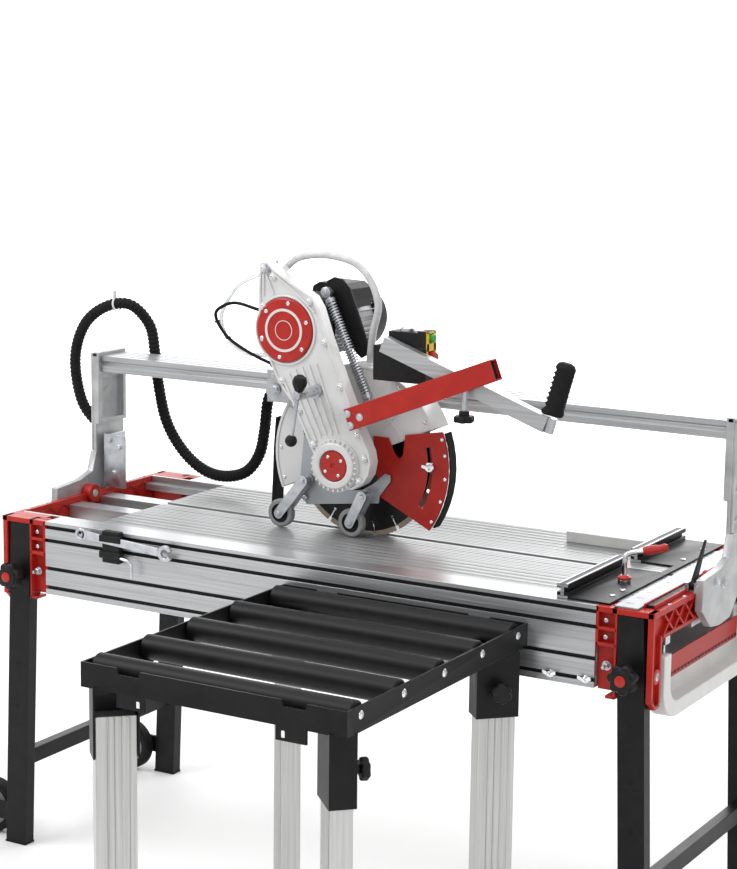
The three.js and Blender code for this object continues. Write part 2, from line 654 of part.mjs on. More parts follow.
// ---------------------------------------------------------------- hoses
const REAR = 178;
add('supply_conduit', tube([
  [-812, 150, 880], [-842, 130, 902], [-888, 118, 958], [-902, 110, 1060], [-876, 112, 1144], [-822, 122, 1191],
  [-768, 150, 1198], [-732, REAR, 1150], [-716, REAR, 1084], [-706, REAR, 1008], [-684, REAR, 924],
  [-642, REAR, 862], [-586, REAR, 820], [-524, REAR, 806], [-458, REAR, 822], [-419, REAR, 868],
  [-404, REAR, 930], [-394, REAR, 1000], [-366, REAR, 1044], [-340, REAR, 1055], [-313, REAR, 1056],
], 14, 8, 44), RUBBER());

add('water_hose', tube([
  [-206, -46, 1338], [-172, -44, 1362], [-110, -40, 1374], [-40, -36, 1358], [0, -34, 1322], [18, -32, 1270],
  [4, -28, 1212], [-8, -20, 1146],
], 8, 8, 26), HOSE());

// ---------------------------------------------------------------- roller extension table
const ROLLERS = { x0: -40, x1: 523, y0: -991.4, y1: -HALF_DEPTH - GAP, count: 5, pitch: 149, r: 24 };
const SHEET = 4;
const SIDE_H = 47;
const LEG_TOP = 612;        // upper end of the roller table's legs, inside their sockets
const LEG = { wide: 76, thick: 40, socket: 132 };

// the four legs stand diagonally in the corners: [x, y, turn]
const INSET = { front: 42, rear: 52, side: 44 };
const CORNERS = {
  front_left: [ROLLERS.x0 + INSET.side, ROLLERS.y0 + INSET.front, Math.PI / 4],
  front_right: [ROLLERS.x1 - INSET.side, ROLLERS.y0 + INSET.front, -Math.PI / 4],
  rear_left: [ROLLERS.x0 + INSET.side, ROLLERS.y1 - INSET.rear, -Math.PI / 4],
  rear_right: [ROLLERS.x1 - INSET.side, ROLLERS.y1 - INSET.rear, Math.PI / 4],
};

function atCorner(geometry, [x, y, turn]) {
  return geometry.rotateZ(turn).translate(x, y, 0);
}

// the front left socket is open towards the operator
function legSocket(corner) {
  const top = ROLLER_TOP - SIDE_H + 3;
  const low = ROLLER_TOP - SIDE_H - LEG.socket;
  const w = LEG.wide / 2 + 1 + SHEET;
  const t = LEG.thick / 2 + 1 + SHEET;
  const outer = box(-w, w, -t, t, low, top);
  const inner = box(-w + SHEET, w - SHEET, -t + SHEET, t - SHEET, low - 10, top - SHEET);
  const tools = [inner];
  if (corner === CORNERS.front_left) tools.push(box(-w + SHEET, w - SHEET, -t - 1, 0, low - 10, top - 14));
  return atCorner(cut(outer, ...tools), corner);
}

function endPlate(y) {
  const z = ROLLER_TOP;
  const low = z - SIDE_H;
  const { x0, x1 } = ROLLERS;
  const plate = outline([
    [x0, z], [x0, low], [x0 + 84, low], [x0 + 84, low - 26], [x0 + 140, low - 26], [x0 + 140, low],
    [x1 - 140, low], [x1 - 140, low - 26], [x1 - 84, low - 26], [x1 - 84, low], [x1, low], [x1, z],
    [x1 - 80, z], [x1 - 84, z - 12], [x1 - 128, z - 12], [x1 - 132, z], [x0 + 132, z], [x0 + 128, z - 12],
    [x0 + 84, z - 12], [x0 + 80, z],
  ]);
  return prismXZ(plate, y, y + SHEET);
}

function rollerFrame() {
  const { x0, x1, y0, y1, count, pitch } = ROLLERS;
  const side = (x) => box(x, x + SHEET, y0, y1, ROLLER_TOP - SIDE_H, ROLLER_TOP);
  const gusset = (x, y) => box(x - 40, x + 40, y - 40, y + 40, ROLLER_TOP - SIDE_H + 0.5, ROLLER_TOP - SIDE_H + 4);
  const parts = [side(x0), side(x1 - SHEET), endPlate(y0), endPlate(y1 - SHEET)];
  for (const corner of Object.values(CORNERS)) {
    parts.push(legSocket(corner), gusset(corner[0], corner[1]));
  }
  for (let i = 0; i < count; i++) {
    const y = rollerY(i);
    for (const [a, b] of [[x0 + 3, x0 + 12], [x1 - 12, x1 - 3]]) parts.push(barX(7, a, b, y, ROLLER_Z, 8));
  }
  return join(...parts);
}

const ROLLER_Z = ROLLER_TOP - 16;
function rollerY(i) {
  return ROLLERS.y0 + 44 + i * ROLLERS.pitch;
}
add('roller_frame', rollerFrame(), BLACK());

for (let i = 0; i < ROLLERS.count; i++) {
  const x0 = ROLLERS.x0 + SHEET + 2.5;
  const x1 = ROLLERS.x1 - SHEET - 2.5;
  const tubeBody = turnedX([[0, x0 + 7], [7.6, x0 + 7], [7.6, x0], [ROLLERS.r, x0], [ROLLERS.r, x1], [7.6, x1],
    [7.6, x1 - 7], [0, x1 - 7]], rollerY(i), ROLLER_Z, 16);
  add(`roller_${i + 1}`, tubeBody, BLACK());
}

for (const [name, corner] of Object.entries(CORNERS)) {
  const rib = [];
  for (let x = LEG.wide / 2 - 12; x > -LEG.wide / 2 + 12; x -= 13) {
    rib.push([x, -LEG.thick / 2], [x - 2, -LEG.thick / 2 + 1.6], [x - 4, -LEG.thick / 2]);
  }
  const half = LEG.wide / 2;
  const t = LEG.thick / 2;
  const section = outline([[half, -t], ...rib, [-half, -t], [-half, t], [half, t]]);
  const leg = atCorner(prismXY(section, 0, LEG_TOP), corner);
  add(`roller_leg_${name}`, leg, ALU());
}

// ---------------------------------------------------------------- footprint centred on the origin
const bounds = new THREE.Box3().setFromObject(group);
group.position.set(-(bounds.min.x + bounds.max.x) / 2, -(bounds.min.y + bounds.max.y) / 2, -bounds.min.z);
group.updateMatrixWorld(true);

export default group;
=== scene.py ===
"""Bridge masonry saw with a roller extension table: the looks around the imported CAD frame."""
import json
import math

import bmesh
import bpy
from mathutils import Matrix, Vector


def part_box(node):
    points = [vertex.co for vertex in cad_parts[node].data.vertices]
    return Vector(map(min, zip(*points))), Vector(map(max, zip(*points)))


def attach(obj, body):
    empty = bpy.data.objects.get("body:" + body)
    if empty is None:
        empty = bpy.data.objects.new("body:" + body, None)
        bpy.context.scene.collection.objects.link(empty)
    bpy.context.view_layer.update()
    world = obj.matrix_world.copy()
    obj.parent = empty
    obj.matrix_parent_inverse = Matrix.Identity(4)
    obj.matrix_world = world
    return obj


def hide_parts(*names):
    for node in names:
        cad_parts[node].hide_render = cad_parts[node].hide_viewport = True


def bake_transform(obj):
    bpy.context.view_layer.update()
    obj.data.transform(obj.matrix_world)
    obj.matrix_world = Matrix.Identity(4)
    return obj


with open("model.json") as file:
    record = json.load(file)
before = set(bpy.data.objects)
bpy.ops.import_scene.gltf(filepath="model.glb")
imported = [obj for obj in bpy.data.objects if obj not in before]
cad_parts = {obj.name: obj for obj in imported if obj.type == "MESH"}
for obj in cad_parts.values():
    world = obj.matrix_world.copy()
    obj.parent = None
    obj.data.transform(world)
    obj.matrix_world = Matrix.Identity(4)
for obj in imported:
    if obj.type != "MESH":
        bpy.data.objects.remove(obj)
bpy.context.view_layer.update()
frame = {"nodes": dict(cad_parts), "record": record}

# ------------------------------------------------------------------ shared frame
# Sizes below are millimetres with the cutting line at y = 0 and the bed centred on x = 0.
HALF_DEPTH = 307
BLADE_X = -30
TABLE = 768
blade_low, blade_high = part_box("blade")
beam_low, beam_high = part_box("front_beam")
SHIFT = Vector((
    (blade_low.x + blade_high.x) * 500 - BLADE_X,
    beam_low.y * 1000 + HALF_DEPTH,
    0,
))


def to_row(p):
    return (Vector(p) + SHIFT) / 1000


# ------------------------------------------------------------------ camera
AZIMUTH = math.radians(30.36)
PITCH = math.radians(10.19)
ROLL = math.radians(0.705)
right = Vector((math.cos(AZIMUTH), math.sin(AZIMUTH), 0))
ahead = Vector((-math.sin(AZIMUTH) * math.cos(PITCH), math.cos(AZIMUTH) * math.cos(PITCH), -math.sin(PITCH)))
above = right.cross(ahead)
view_x = right * math.cos(ROLL) + above * math.sin(ROLL)
view_y = above * math.cos(ROLL) - right * math.sin(ROLL)
camera_data = bpy.data.cameras.new("camera")
camera_data.lens = 91.3
camera_data.sensor_width = 36
camera_data.shift_x = 0.0053
camera_data.shift_y = -0.0038
camera_data.clip_end = 60
camera = bpy.data.objects.new("camera", camera_data)
bpy.context.scene.collection.objects.link(camera)
turn = Matrix((view_x, view_y, -ahead)).transposed().to_4x4()
camera.matrix_world = Matrix.Translation(to_row((2344.5, -4057.5, 1834.9))) @ turn
bpy.context.scene.camera = camera


# ------------------------------------------------------------------ materials
def material(name, dark, light, rough, metallic=0.0, scale=60.0, stretch=(1, 1, 1), bump=0.15, grain=900.0,
             coat=0.0, transmission=0.0, detail=4.0, gloss=0.5):
    """Noise-mixed colour and roughness with a fine surface grain, all from object coordinates."""
    mat = bpy.data.materials.new(name)
    mat.use_nodes = True
    nodes, links = mat.node_tree.nodes, mat.node_tree.links
    shader = nodes["Principled BSDF"]
    coords = nodes.new("ShaderNodeTexCoord")
    mapping = nodes.new("ShaderNodeMapping")
    mapping.inputs["Scale"].default_value = stretch
    noise = nodes.new("ShaderNodeTexNoise")
    noise.inputs["Scale"].default_value = scale
    noise.inputs["Detail"].default_value = detail
    ramp = nodes.new("ShaderNodeValToRGB")
    ramp.color_ramp.elements[0].position = 0.32
    ramp.color_ramp.elements[1].position = 0.68
    ramp.color_ramp.elements[0].color = (*dark, 1)
    ramp.color_ramp.elements[1].color = (*light, 1)
    spread = nodes.new("ShaderNodeMapRange")
    spread.inputs["To Min"].default_value = rough[0]
    spread.inputs["To Max"].default_value = rough[1]
    fine = nodes.new("ShaderNodeTexNoise")
    fine.inputs["Scale"].default_value = grain
    fine.inputs["Detail"].default_value = 2.0
    relief = nodes.new("ShaderNodeBump")
    relief.inputs["Strength"].default_value = bump
    relief.inputs["Distance"].default_value = 0.0004
    links.new(coords.outputs["Object"], mapping.inputs["Vector"])
    links.new(mapping.outputs["Vector"], noise.inputs["Vector"])
    links.new(mapping.outputs["Vector"], fine.inputs["Vector"])
    links.new(noise.outputs["Fac"], ramp.inputs["Fac"])
    links.new(noise.outputs["Fac"], spread.inputs["Value"])
    links.new(fine.outputs["Fac"], relief.inputs["Height"])
    links.new(ramp.outputs["Color"], shader.inputs["Base Color"])
    links.new(spread.outputs["Result"], shader.inputs["Roughness"])
    links.new(relief.outputs["Normal"], shader.inputs["Normal"])
    shader.inputs["Metallic"].default_value = metallic
    shader.inputs["Coat Weight"].default_value = coat
    shader.inputs["Specular IOR Level"].default_value = gloss
    shader.inputs["Transmission Weight"].default_value = transmission
    return mat


RED = material("red_paint", (0.36, 0.012, 0.007), (0.44, 0.018, 0.010), (0.36, 0.50), scale=25, bump=0.12, coat=0.05,
               gloss=0.3)
RED_GLOSS = material("red_gloss", (0.38, 0.012, 0.008), (0.45, 0.018, 0.011), (0.26, 0.36), scale=40, bump=0.05,
                     coat=0.1, gloss=0.35)
WHITE = material("white_paint", (0.62, 0.62, 0.615), (0.69, 0.69, 0.685), (0.28, 0.40), scale=18, bump=0.14, coat=0.2)
BLACK = material("black_paint", (0.005, 0.005, 0.006), (0.009, 0.009, 0.010), (0.34, 0.48), scale=30, bump=0.12,
                 gloss=0.2)
PLASTIC = material("black_plastic", (0.005, 0.005, 0.005), (0.010, 0.010, 0.010), (0.42, 0.56), scale=80, bump=0.25,
                   gloss=0.25)
RUBBER = material("black_rubber", (0.005, 0.005, 0.005), (0.010, 0.010, 0.010), (0.60, 0.80), scale=90, bump=0.3,
                  gloss=0.2)
GREY_TYRE = material("grey_tyre", (0.20, 0.20, 0.205), (0.27, 0.27, 0.275), (0.5, 0.65), scale=70, bump=0.2)
BRUSHED = material("brushed_aluminium", (0.42, 0.43, 0.44), (0.56, 0.57, 0.58), (0.28, 0.46), metallic=0.85,
                   scale=260, stretch=(0.015, 1, 1), bump=0.10, grain=700)
MILLED = material("ribbed_table", (0.34, 0.345, 0.35), (0.45, 0.455, 0.46), (0.36, 0.52), metallic=0.7,
                  scale=320, stretch=(0.012, 1, 1), bump=0.14, grain=800)
CAST = material("cast_aluminium", (0.40, 0.405, 0.41), (0.56, 0.565, 0.57), (0.34, 0.54), metallic=0.75,
                scale=22, bump=0.35, grain=1300)
ZINC = material("zinc_plate", (0.44, 0.46, 0.49), (0.64, 0.66, 0.69), (0.20, 0.40), metallic=0.95, scale=45,
                bump=0.06)
TUBE_ALU = material("leg_aluminium", (0.50, 0.50, 0.49), (0.62, 0.62, 0.61), (0.34, 0.5), metallic=0.75,
                    scale=260, stretch=(1, 1, 0.015), bump=0.1, grain=700)
CHROME = material("chrome", (0.74, 0.75, 0.77), (0.86, 0.87, 0.88), (0.05, 0.14), metallic=1.0, scale=30, bump=0.02)
TRAY = material("tray_plastic", (0.62, 0.62, 0.60), (0.70, 0.70, 0.68), (0.38, 0.5), scale=20, bump=0.2)
HOSE = material("grey_hose", (0.50, 0.50, 0.51), (0.62, 0.62, 0.63), (0.30, 0.42), scale=60, bump=0.1)
CLEAR = material("clear_hose", (0.74, 0.76, 0.78), (0.84, 0.86, 0.88), (0.12, 0.2), scale=60, bump=0.05,
                 transmission=0.45)
YELLOW = material("yellow_plastic", (0.72, 0.46, 0.01), (0.82, 0.55, 0.02), (0.3, 0.4), scale=50, bump=0.1)
GREEN = material("green_plastic", (0.01, 0.26, 0.05), (0.02, 0.36, 0.07), (0.25, 0.35), scale=50, bump=0.08)
BLADE = material("blade_steel", (0.006, 0.006, 0.007), (0.012, 0.012, 0.013), (0.34, 0.5), metallic=0.3,
                 scale=40, bump=0.08)
SEGMENT = material("diamond_segment", (0.34, 0.27, 0.20), (0.52, 0.44, 0.34), (0.5, 0.7), metallic=0.3,
                   scale=500, bump=0.5)
SILVER = material("smooth_plate", (0.34, 0.355, 0.38), (0.40, 0.415, 0.44), (0.36, 0.46), metallic=0.6, scale=9,
                  bump=0.03)
MOTOR_ALU = material("motor_casting", (0.34, 0.34, 0.35), (0.52, 0.52, 0.53), (0.35, 0.5), metallic=0.7,
                     scale=30, bump=0.3)


# ------------------------------------------------------------------ mesh building
class Piece:
    """Collects simple closed shapes, in millimetres, into one mesh."""

    def __init__(self):
        self.bm = bmesh.new()

    def verts(self, points):
        return [self.bm.verts.new(p) for p in points]

    def face(self, verts):
        if len(set(verts)) > 2:
            self.bm.faces.new(verts)

    def box(self, x0, x1, y0, y1, z0, z1):
        lo = self.verts([(x0, y0, z0), (x1, y0, z0), (x1, y1, z0), (x0, y1, z0)])
        hi = self.verts([(x0, y0, z1), (x1, y0, z1), (x1, y1, z1), (x0, y1, z1)])
        self.loft([lo, hi])
        return self

    def loft(self, rings, closed=False):
        count = len(rings[0])
        pairs = list(zip(rings, rings[1:]))
        if closed:
            pairs.append((rings[-1], rings[0]))
        for a, b in pairs:
            for i in range(count):
                j = (i + 1) % count
                self.face([a[i], a[j], b[j], b[i]])
        if not closed:
            self.face(rings[0][::-1])
            self.face(rings[-1])
        return self

    def prism(self, outline, plane, lo, hi):
        """outline in the plane named, such as "XZ", run from lo to hi along the third axis"""
        order = {"XZ": lambda a, b, c: (a, c, b), "YZ": lambda a, b, c: (c, a, b), "XY": lambda a, b, c: (a, b, c)}
        place = order[plane]
        self.loft([self.verts([place(a, b, c) for a, b in outline]) for c in (lo, hi)])
        return self

    def lathe(self, profile, origin, direction, sides=36, ring=False):
        """profile of [radius, distance along direction]"""
        origin, direction = Vector(origin), Vector(direction).normalized()
        u = direction.orthogonal().normalized()
        v = direction.cross(u)
        rings = []
        for r, t in profile:
            r = max(r, 0.01)
            rings.append(self.verts([
                origin + direction * t + u * (r * math.cos(k * math.tau / sides)) + v * (r * math.sin(k * math.tau / sides))
                for k in range(sides)
            ]))
        return self.loft(rings, closed=ring)

    def rod(self, a, b, r, sides=24, chamfer=0.6):
        a, b = Vector(a), Vector(b)
        length = (b - a).length
        c = min(chamfer, length / 3, r / 2)
        return self.lathe([(r - c, 0), (r, c), (r, length - c), (r - c, length)], a, b - a, sides)

    def ball(self, centre, r, sides=24):
        steps = sides // 2
        profile = [(r * math.sin(math.pi * k / steps), -r * math.cos(math.pi * k / steps)) for k in range(steps + 1)]
        return self.lathe(profile, centre, (0, 0, 1), sides)

    def screw(self, p, direction, r=4.0, height=2.6):
        """button head with a socket"""
        h = height
        profile = [(r, 0), (r, h * 0.35), (r * 0.8, h * 0.8), (r * 0.55, h), (r * 0.5, h), (r * 0.46, h * 0.3), (0, h * 0.3)]
        return self.lathe(profile, p, direction, 16)

    def hexbolt(self, p, direction, r=6.0, height=5.0):
        self.lathe([(r * 1.35, 0), (r * 1.35, 1.2), (r, 1.2)], p, direction, 20)
        return self.lathe([(r, 1), (r, height - 0.8), (r * 0.86, height)], p, direction, 6)

    def sweep(self, path, radius, sides=12):
        """round tube along path; radius is a number or a function of the point's index"""
        radius_at = radius if callable(radius) else (lambda i: radius)
        points = [Vector(p) for p in path]
        tangent = (points[1] - points[0]).normalized()
        u = tangent.orthogonal().normalized()
        rings = []
        for i, p in enumerate(points):
            t = (points[min(i + 1, len(points) - 1)] - points[max(i - 1, 0)]).normalized()
            u = (u - t * u.dot(t)).normalized()
            v = t.cross(u)
            r = radius_at(i)
            rings.append(self.verts([
                p + u * (r * math.cos(k * math.tau / sides)) + v * (r * math.sin(k * math.tau / sides))
                for k in range(sides)
            ]))
        return self.loft(rings)

    def lobed(self, centre, direction, r, depth, count, thickness):
        """hand knob head with rounded lobes"""
        centre, direction = Vector(centre), Vector(direction).normalized()
        u = direction.orthogonal().normalized()
        v = direction.cross(u)
        steps = count * 10
        rings = []
        for scale, t in ((0.90, 0), (1, thickness * 0.16), (1, thickness * 0.8), (0.88, thickness)):
            ring = []
            for k in range(steps):
                a = k * math.tau / steps
                rr = scale * (r - depth * (0.5 - 0.5 * math.cos(count * a)) ** 1.6)
                ring.append(centre + direction * t + u * (rr * math.cos(a)) + v * (rr * math.sin(a)))
            rings.append(self.verts(ring))
        return self.loft(rings)

    def done(self, name, mat, body, bevel=0.0, angle=32, replaces=(), ride=True):
        bmesh.ops.remove_doubles(self.bm, verts=self.bm.verts, dist=0.002)
        bmesh.ops.recalc_face_normals(self.bm, faces=self.bm.faces)
        bmesh.ops.transform(self.bm, matrix=Matrix.Translation(SHIFT), verts=self.bm.verts)
        bmesh.ops.scale(self.bm, vec=(0.001, 0.001, 0.001), verts=self.bm.verts)
        return finish_mesh(self.bm, name, mat, body, bevel, angle, replaces, ride)


def finish_mesh(bm, name, mat, body, bevel, angle, replaces, ride=True):
    mesh = bpy.data.meshes.new(name)
    bm.to_mesh(mesh)
    bm.free()
    mesh.polygons.foreach_set("use_smooth", [True] * len(mesh.polygons))
    mesh.set_sharp_from_angle(angle=math.radians(angle))
    mesh.materials.append(mat)
    obj = bpy.data.objects.new(name, mesh)
    bpy.context.scene.collection.objects.link(obj)
    if bevel:
        mod = obj.modifiers.new("edge", "BEVEL")
        mod.width = bevel / 1000
        mod.segments = 2
        mod.limit_method = "ANGLE"
        mod.angle_limit = math.radians(35)
        mod.use_clamp_overlap = True
        mod.harden_normals = False
    if ride:
        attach(obj, body)
    for node in replaces:
        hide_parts(node)
    return obj


def refine(node, mat, bevel=0.8, body=None, angle=32, name=None):
    """A CAD solid with its edges eased, in place of the node."""
    bm = bmesh.new()
    bm.from_mesh(frame["nodes"][node].data)
    bmesh.ops.remove_doubles(bm, verts=bm.verts, dist=0.00001)
    bmesh.ops.dissolve_limit(bm, angle_limit=math.radians(0.6), verts=bm.verts, edges=bm.edges)
    owner = body or body_of[node]
    return finish_mesh(bm, name or node + "_skin", mat, owner, bevel, angle, [node])


body_of = {n: b for b, names in frame["record"]["behaviour"]["bodies"].items() for n in names}


def smooth_path(points, per_span=10):
    """Catmull-Rom through the points"""
    pts = [Vector(p) for p in points]
    pts = [pts[0] * 2 - pts[1]] + pts + [pts[-1] * 2 - pts[-2]]
    out = []
    for i in range(1, len(pts) - 2):
        a, b, c, d = pts[i - 1:i + 3]
        for k in range(per_span):
            t = k / per_span
            out.append(0.5 * ((2 * b) + (c - a) * t + (2 * a - 5 * b + 4 * c - d) * t * t + (3 * b - a - 3 * c + d) * t ** 3))
    out.append(pts[-2])
    return out


def even_path(points, step):
    """the same path at even spacing"""
    raw = smooth_path(points, 24)
    out, carry = [raw[0]], 0.0
    for a, b in zip(raw, raw[1:]):
        length = (b - a).length
        while carry + length >= step:
            t = (step - carry) / length
            a = a.lerp(b, t)
            length = (b - a).length
            out.append(a.copy())
            carry = 0.0
        carry += length
    return out


# ------------------------------------------------------------------ bed
for side, s in (("left", -1), ("right", 1)):
    casting = Piece()
    inner, outer = s * 774, s * 786
    lo, hi = min(inner, outer), max(inner, outer)
    back = (min(inner, s * 777.5), max(inner, s * 777.5))
    wall = [
        (-302, 594), (-287, 574), (-262, 574), (-262, 672), (-222, 712), (222, 712), (262, 672), (262, 574), (287, 574),
        (302, 594), (302, 757), (-302, 757),
    ]
    casting.prism(wall, "YZ", *back)
    casting.box(min(inner, s * 788), max(inner, s * 788), -307, 307, 757, 768)
    casting.box(lo, hi, -256, 256, 709, 716)
    for q in (-1, 1):
        y0, y1 = sorted((q * 262, q * 270))
        casting.box(lo, hi, y0, y1, 582, 716)
        y0, y1 = sorted((q * 299, q * 307))
        casting.box(lo, hi, y0, y1, 590, 760)
        casting.prism([(q * 262, 580), (q * 268, 574), (q * 287, 574), (q * 307, 594), (q * 300, 596), (q * 284, 581)],
                      "YZ", lo, hi)
        # lower boss with its pin
        casting.lathe([(15, 0), (15, 9)], (s * 778, q * 285, 640), (s, 0, 0), 28)
        # rear and front lugs around the leg
        y0, y1 = sorted((q * 276, q * 307))
        casting.box(min(s * 667, s * 672), max(s * 667, s * 672), y0, y1, 690, 768)
        casting.box(min(s * 667, s * 712), max(s * 667, s * 712), min(q * 284, q * 290), max(q * 284, q * 290), 600, 768)
        casting.box(min(s * 706, s * 710.6), max(s * 706, s * 710.6), y0, y1, 588, 768)
        for z0, z1 in ((690, 697), (722, 728), (757, 768)):
            casting.box(min(s * 667, s * 710), max(s * 667, s * 710), y0, y1, z0, z1)
        casting.box(min(s * 690, s * 710), max(s * 690, s * 710), y0, y1, 588, 594)
        casting.box(min(s * 700, s * 786), max(s * 700, s * 786), y0, y1, 756.8, 768)
        y0, y1 = sorted((q * 250, q * 276))
        casting.box(min(s * 690, s * 776), max(s * 690, s * 776), y0, y1, 700, 768)
    # lattice of crossing ribs on the outer face
    bays = 10
    pitch = 512 / bays
    for k in range(bays):
        a, b = -256 + k * pitch, -256 + (k + 1) * pitch
        for p, r in (((a, 714), (b, 758)), ((a, 758), (b, 714))):
            d = Vector((r[0] - p[0], r[1] - p[1])).normalized() * 2.2
            n = Vector((-d.y, d.x))
            casting.prism([(p[0] - n.x, p[1] - n.y), (r[0] - n.x, r[1] - n.y), (r[0] + n.x, r[1] + n.y),
                           (p[0] + n.x, p[1] + n.y)], "YZ", lo, hi)
    casting.lathe([(20, 0), (20, 26)], (s * 762, 0, 768), (s, 0, 0), 32)
    casting.done(f"end_casting_{side}_body", RED, "bed", bevel=0.9, replaces=[f"end_casting_{side}"])
    fixings = Piece()
    for q in (-1, 1):
        fixings.screw((s * 786.5, q * 285, 640), (s, 0, 0), 8, 3)
        fixings.screw((s * 688, q * 307, 742), (0, q, 0), 4.5, 2.4)
        fixings.screw((s * 688, q * 307, 709), (0, q, 0), 4.5, 2.4)
        fixings.hexbolt((s * 690, q * 302, 652), (0, q, 0), 7, 9)
        fixings.rod((s * 690, q * 300, 652), (s * 690, q * 322, 652), 3.4, 14)
        for y in (150, 225):
            fixings.screw((s * 782, q * y, 768), (0, 0, 1), 4.5, 2.6)
    fixings.done(f"casting_fixings_{side}", ZINC, "bed")

for name, s in (("front_beam", -1), ("rear_beam", 1)):
    refine(name, BRUSHED, bevel=0.5)
    ribs = Piece()
    for z in (738, 711, 706, 701, 696, 648, 643, 638, 633, 610, 607):
        y0, y1 = sorted((s * 306.8, s * 307.7))
        ribs.box(-665, 665, y0, y1, z - 0.8, z + 0.8)
    ribs.done(f"{name}_ribs", BRUSHED, "bed")
    # painted shade: a black block at each groove's floor stands in for the shadow inside the recess
    grooves = Piece()
    for z in (756, 726, 663, 620):
        y0, y1 = sorted((s * 298.2, s * 301.5))
        grooves.box(-664, 664, y0, y1, z - 5.5, z + 5.5)
    grooves.done(f"{name}_groove_shade", PLASTIC, "bed")

refine("centre_rail", BRUSHED, bevel=0.5)
for name, s in (("table_plate_front", -1), ("table_plate_rear", 1)):
    refine(name, MILLED, bevel=0.3)
    ribs = Piece()
    for k in range(1, 18):
        y = s * (12 + k * 12.6)
        ribs.box(-559, 699, y - 0.7, y + 0.7, TABLE - 0.2, TABLE + 0.45)
    ribs.done(f"{name}_ribs", MILLED, "bed")

# water tray, its sheet and a latch
refine("water_tray", TRAY, bevel=2.0)
sheet = Piece().prism([(-198, 602), (200, 602), (204, 648), (-180, 648)], "YZ", 758, 761)
sheet.done("tray_sheet", RED, "tray", bevel=0.5)
# painted shade: a row of black boxes on the red sheet stands in for the dark seen through its slots
teeth = Piece()
for k in range(22):
    y = -190 + k * 18
    teeth.box(761, 761.8, y, y + 11, 607, 612)
teeth.done("tray_sheet_slot_shade", PLASTIC, "tray")
latch = Piece().box(766, 782, -236, -214, 690, 706).box(770, 776, -230, -222, 664, 692)
latch.rod((774, -226, 700), (774, -226, 716), 5)
latch.done("tray_latch", ZINC, "bed", bevel=1.2)

# tool clip with a spanner and a key
clip = Piece().box(-497, -452, -324, -307.4, 702, 772).box(-503, -446, -328, -321, 748, 763)
clip.box(-503, -446, -328, -321, 712, 727)
clip.done("tool_clip", PLASTIC, "bed", bevel=1.6)
spanner = Piece()
along = Vector((-314 + 565, 0, 742 - 757)).normalized()
spanner.prism([(-552, 748), (-348, 734), (-347, 752), (-551, 766)], "XZ", -326, -320)
spanner.lathe([(7, -3), (13, -3), (13, 3), (7, 3)], (-556, -323, 757), (0, 1, 0), 30, ring=True)
jaw = []
for k in range(25):
    a = math.radians(28 + k * 304 / 24) + math.atan2(along.z, along.x)
    jaw.append((-330 + 18 * math.cos(a), 742 + 18 * math.sin(a)))
for k in range(25):
    a = math.radians(332 - k * 304 / 24) + math.atan2(along.z, along.x)
    jaw.append((-330 + 9.5 * math.cos(a), 742 + 9.5 * math.sin(a)))
spanner.prism(jaw, "XZ", -327, -319)
spanner.done("spanner", ZINC, "bed", bevel=0.9)
key = Piece().sweep(smooth_path([
    (-500, -325, 724), (-445, -325, 716), (-426, -325, 712), (-418, -325, 702), (-417, -325, 676),
], 8), 3, 6)
key.done("socket_key", ZINC, "bed")

wings = Piece()
for x in (575, 650):
    wings.lathe([(8, 0), (8, 3), (6, 3), (6, 9), (3, 9), (3, 14)], (x, -307.4, 620), (0, -1, 0), 20)
    for q in (-1, 1):
        wings.prism([(x + q * 3, 617), (x + q * 15, 621), (x + q * 14, 628), (x + q * 3, 624)], "XZ", -318, -315)
wings.done("wing_screws", CHROME, "bed", bevel=0.6)

# plastic support sheet against the fence
support = Piece().prism([(387, 150), (572, 150), (572, 320), (380, 320)], "XY", 768.8, 774)
support.prism([(387, 150), (572, 150), (572, 154), (388, 154)], "XY", 773, 792)
support.done("rear_support_sheet", TRAY, "fence", bevel=1.0)

# ------------------------------------------------------------------ stand
LEAN = 0.038
KNOB_X = 741.1
for side, s in (("left", -1), ("right", 1)):
    body = f"stand_{side}"
    refine(f"stand_frame_{side}", BLACK, bevel=2.4)
    feet = Piece()
    for y0, y1 in ((-307.5, -274.5), (274.5, 307.5)):
        x0, x1 = sorted((s * 795, s * 736))
        feet.box(x0, x1, y0, y1, 0, 5)
    feet.done(f"stand_feet_{side}", RUBBER, body, bevel=1.5)
    # painted shade: thin black discs on the leg face stand in for the dark inside its holes
    holes = Piece()
    for z in (430, 330):
        x = s * (765.5 - LEAN * z)
        holes.lathe([(5.4, 0), (5.4, 0.5), (0, 0.5)], (x, -306.2, z), (0, -1, 0), 22)
    holes.done(f"leg_hole_shade_{side}", RUBBER, body)
    knob = Piece().lobed((s * KNOB_X, -329, 641), (0, -1, 0), 31, 6, 7, 22)
    knob.lathe([(17, 0), (15, 20)], (s * KNOB_X, -308, 641), (0, -1, 0), 32)
    knob.lathe([(22, 0), (22, 3), (15, 4)], (s * KNOB_X, -350, 641), (0, -1, 0), 32)
    knob.done(f"stand_knob_{side}_grip", PLASTIC, f"{side}_knob", bevel=1.0, replaces=[f"stand_knob_{side}"])
    cap = Piece().lathe([(11, 0), (11, 2.5), (9, 3.6), (0, 4)], (s * KNOB_X, -353.4, 641), (0, -1, 0), 28)
    cap.done(f"stand_knob_{side}_cap", RED_GLOSS, f"{side}_knob")
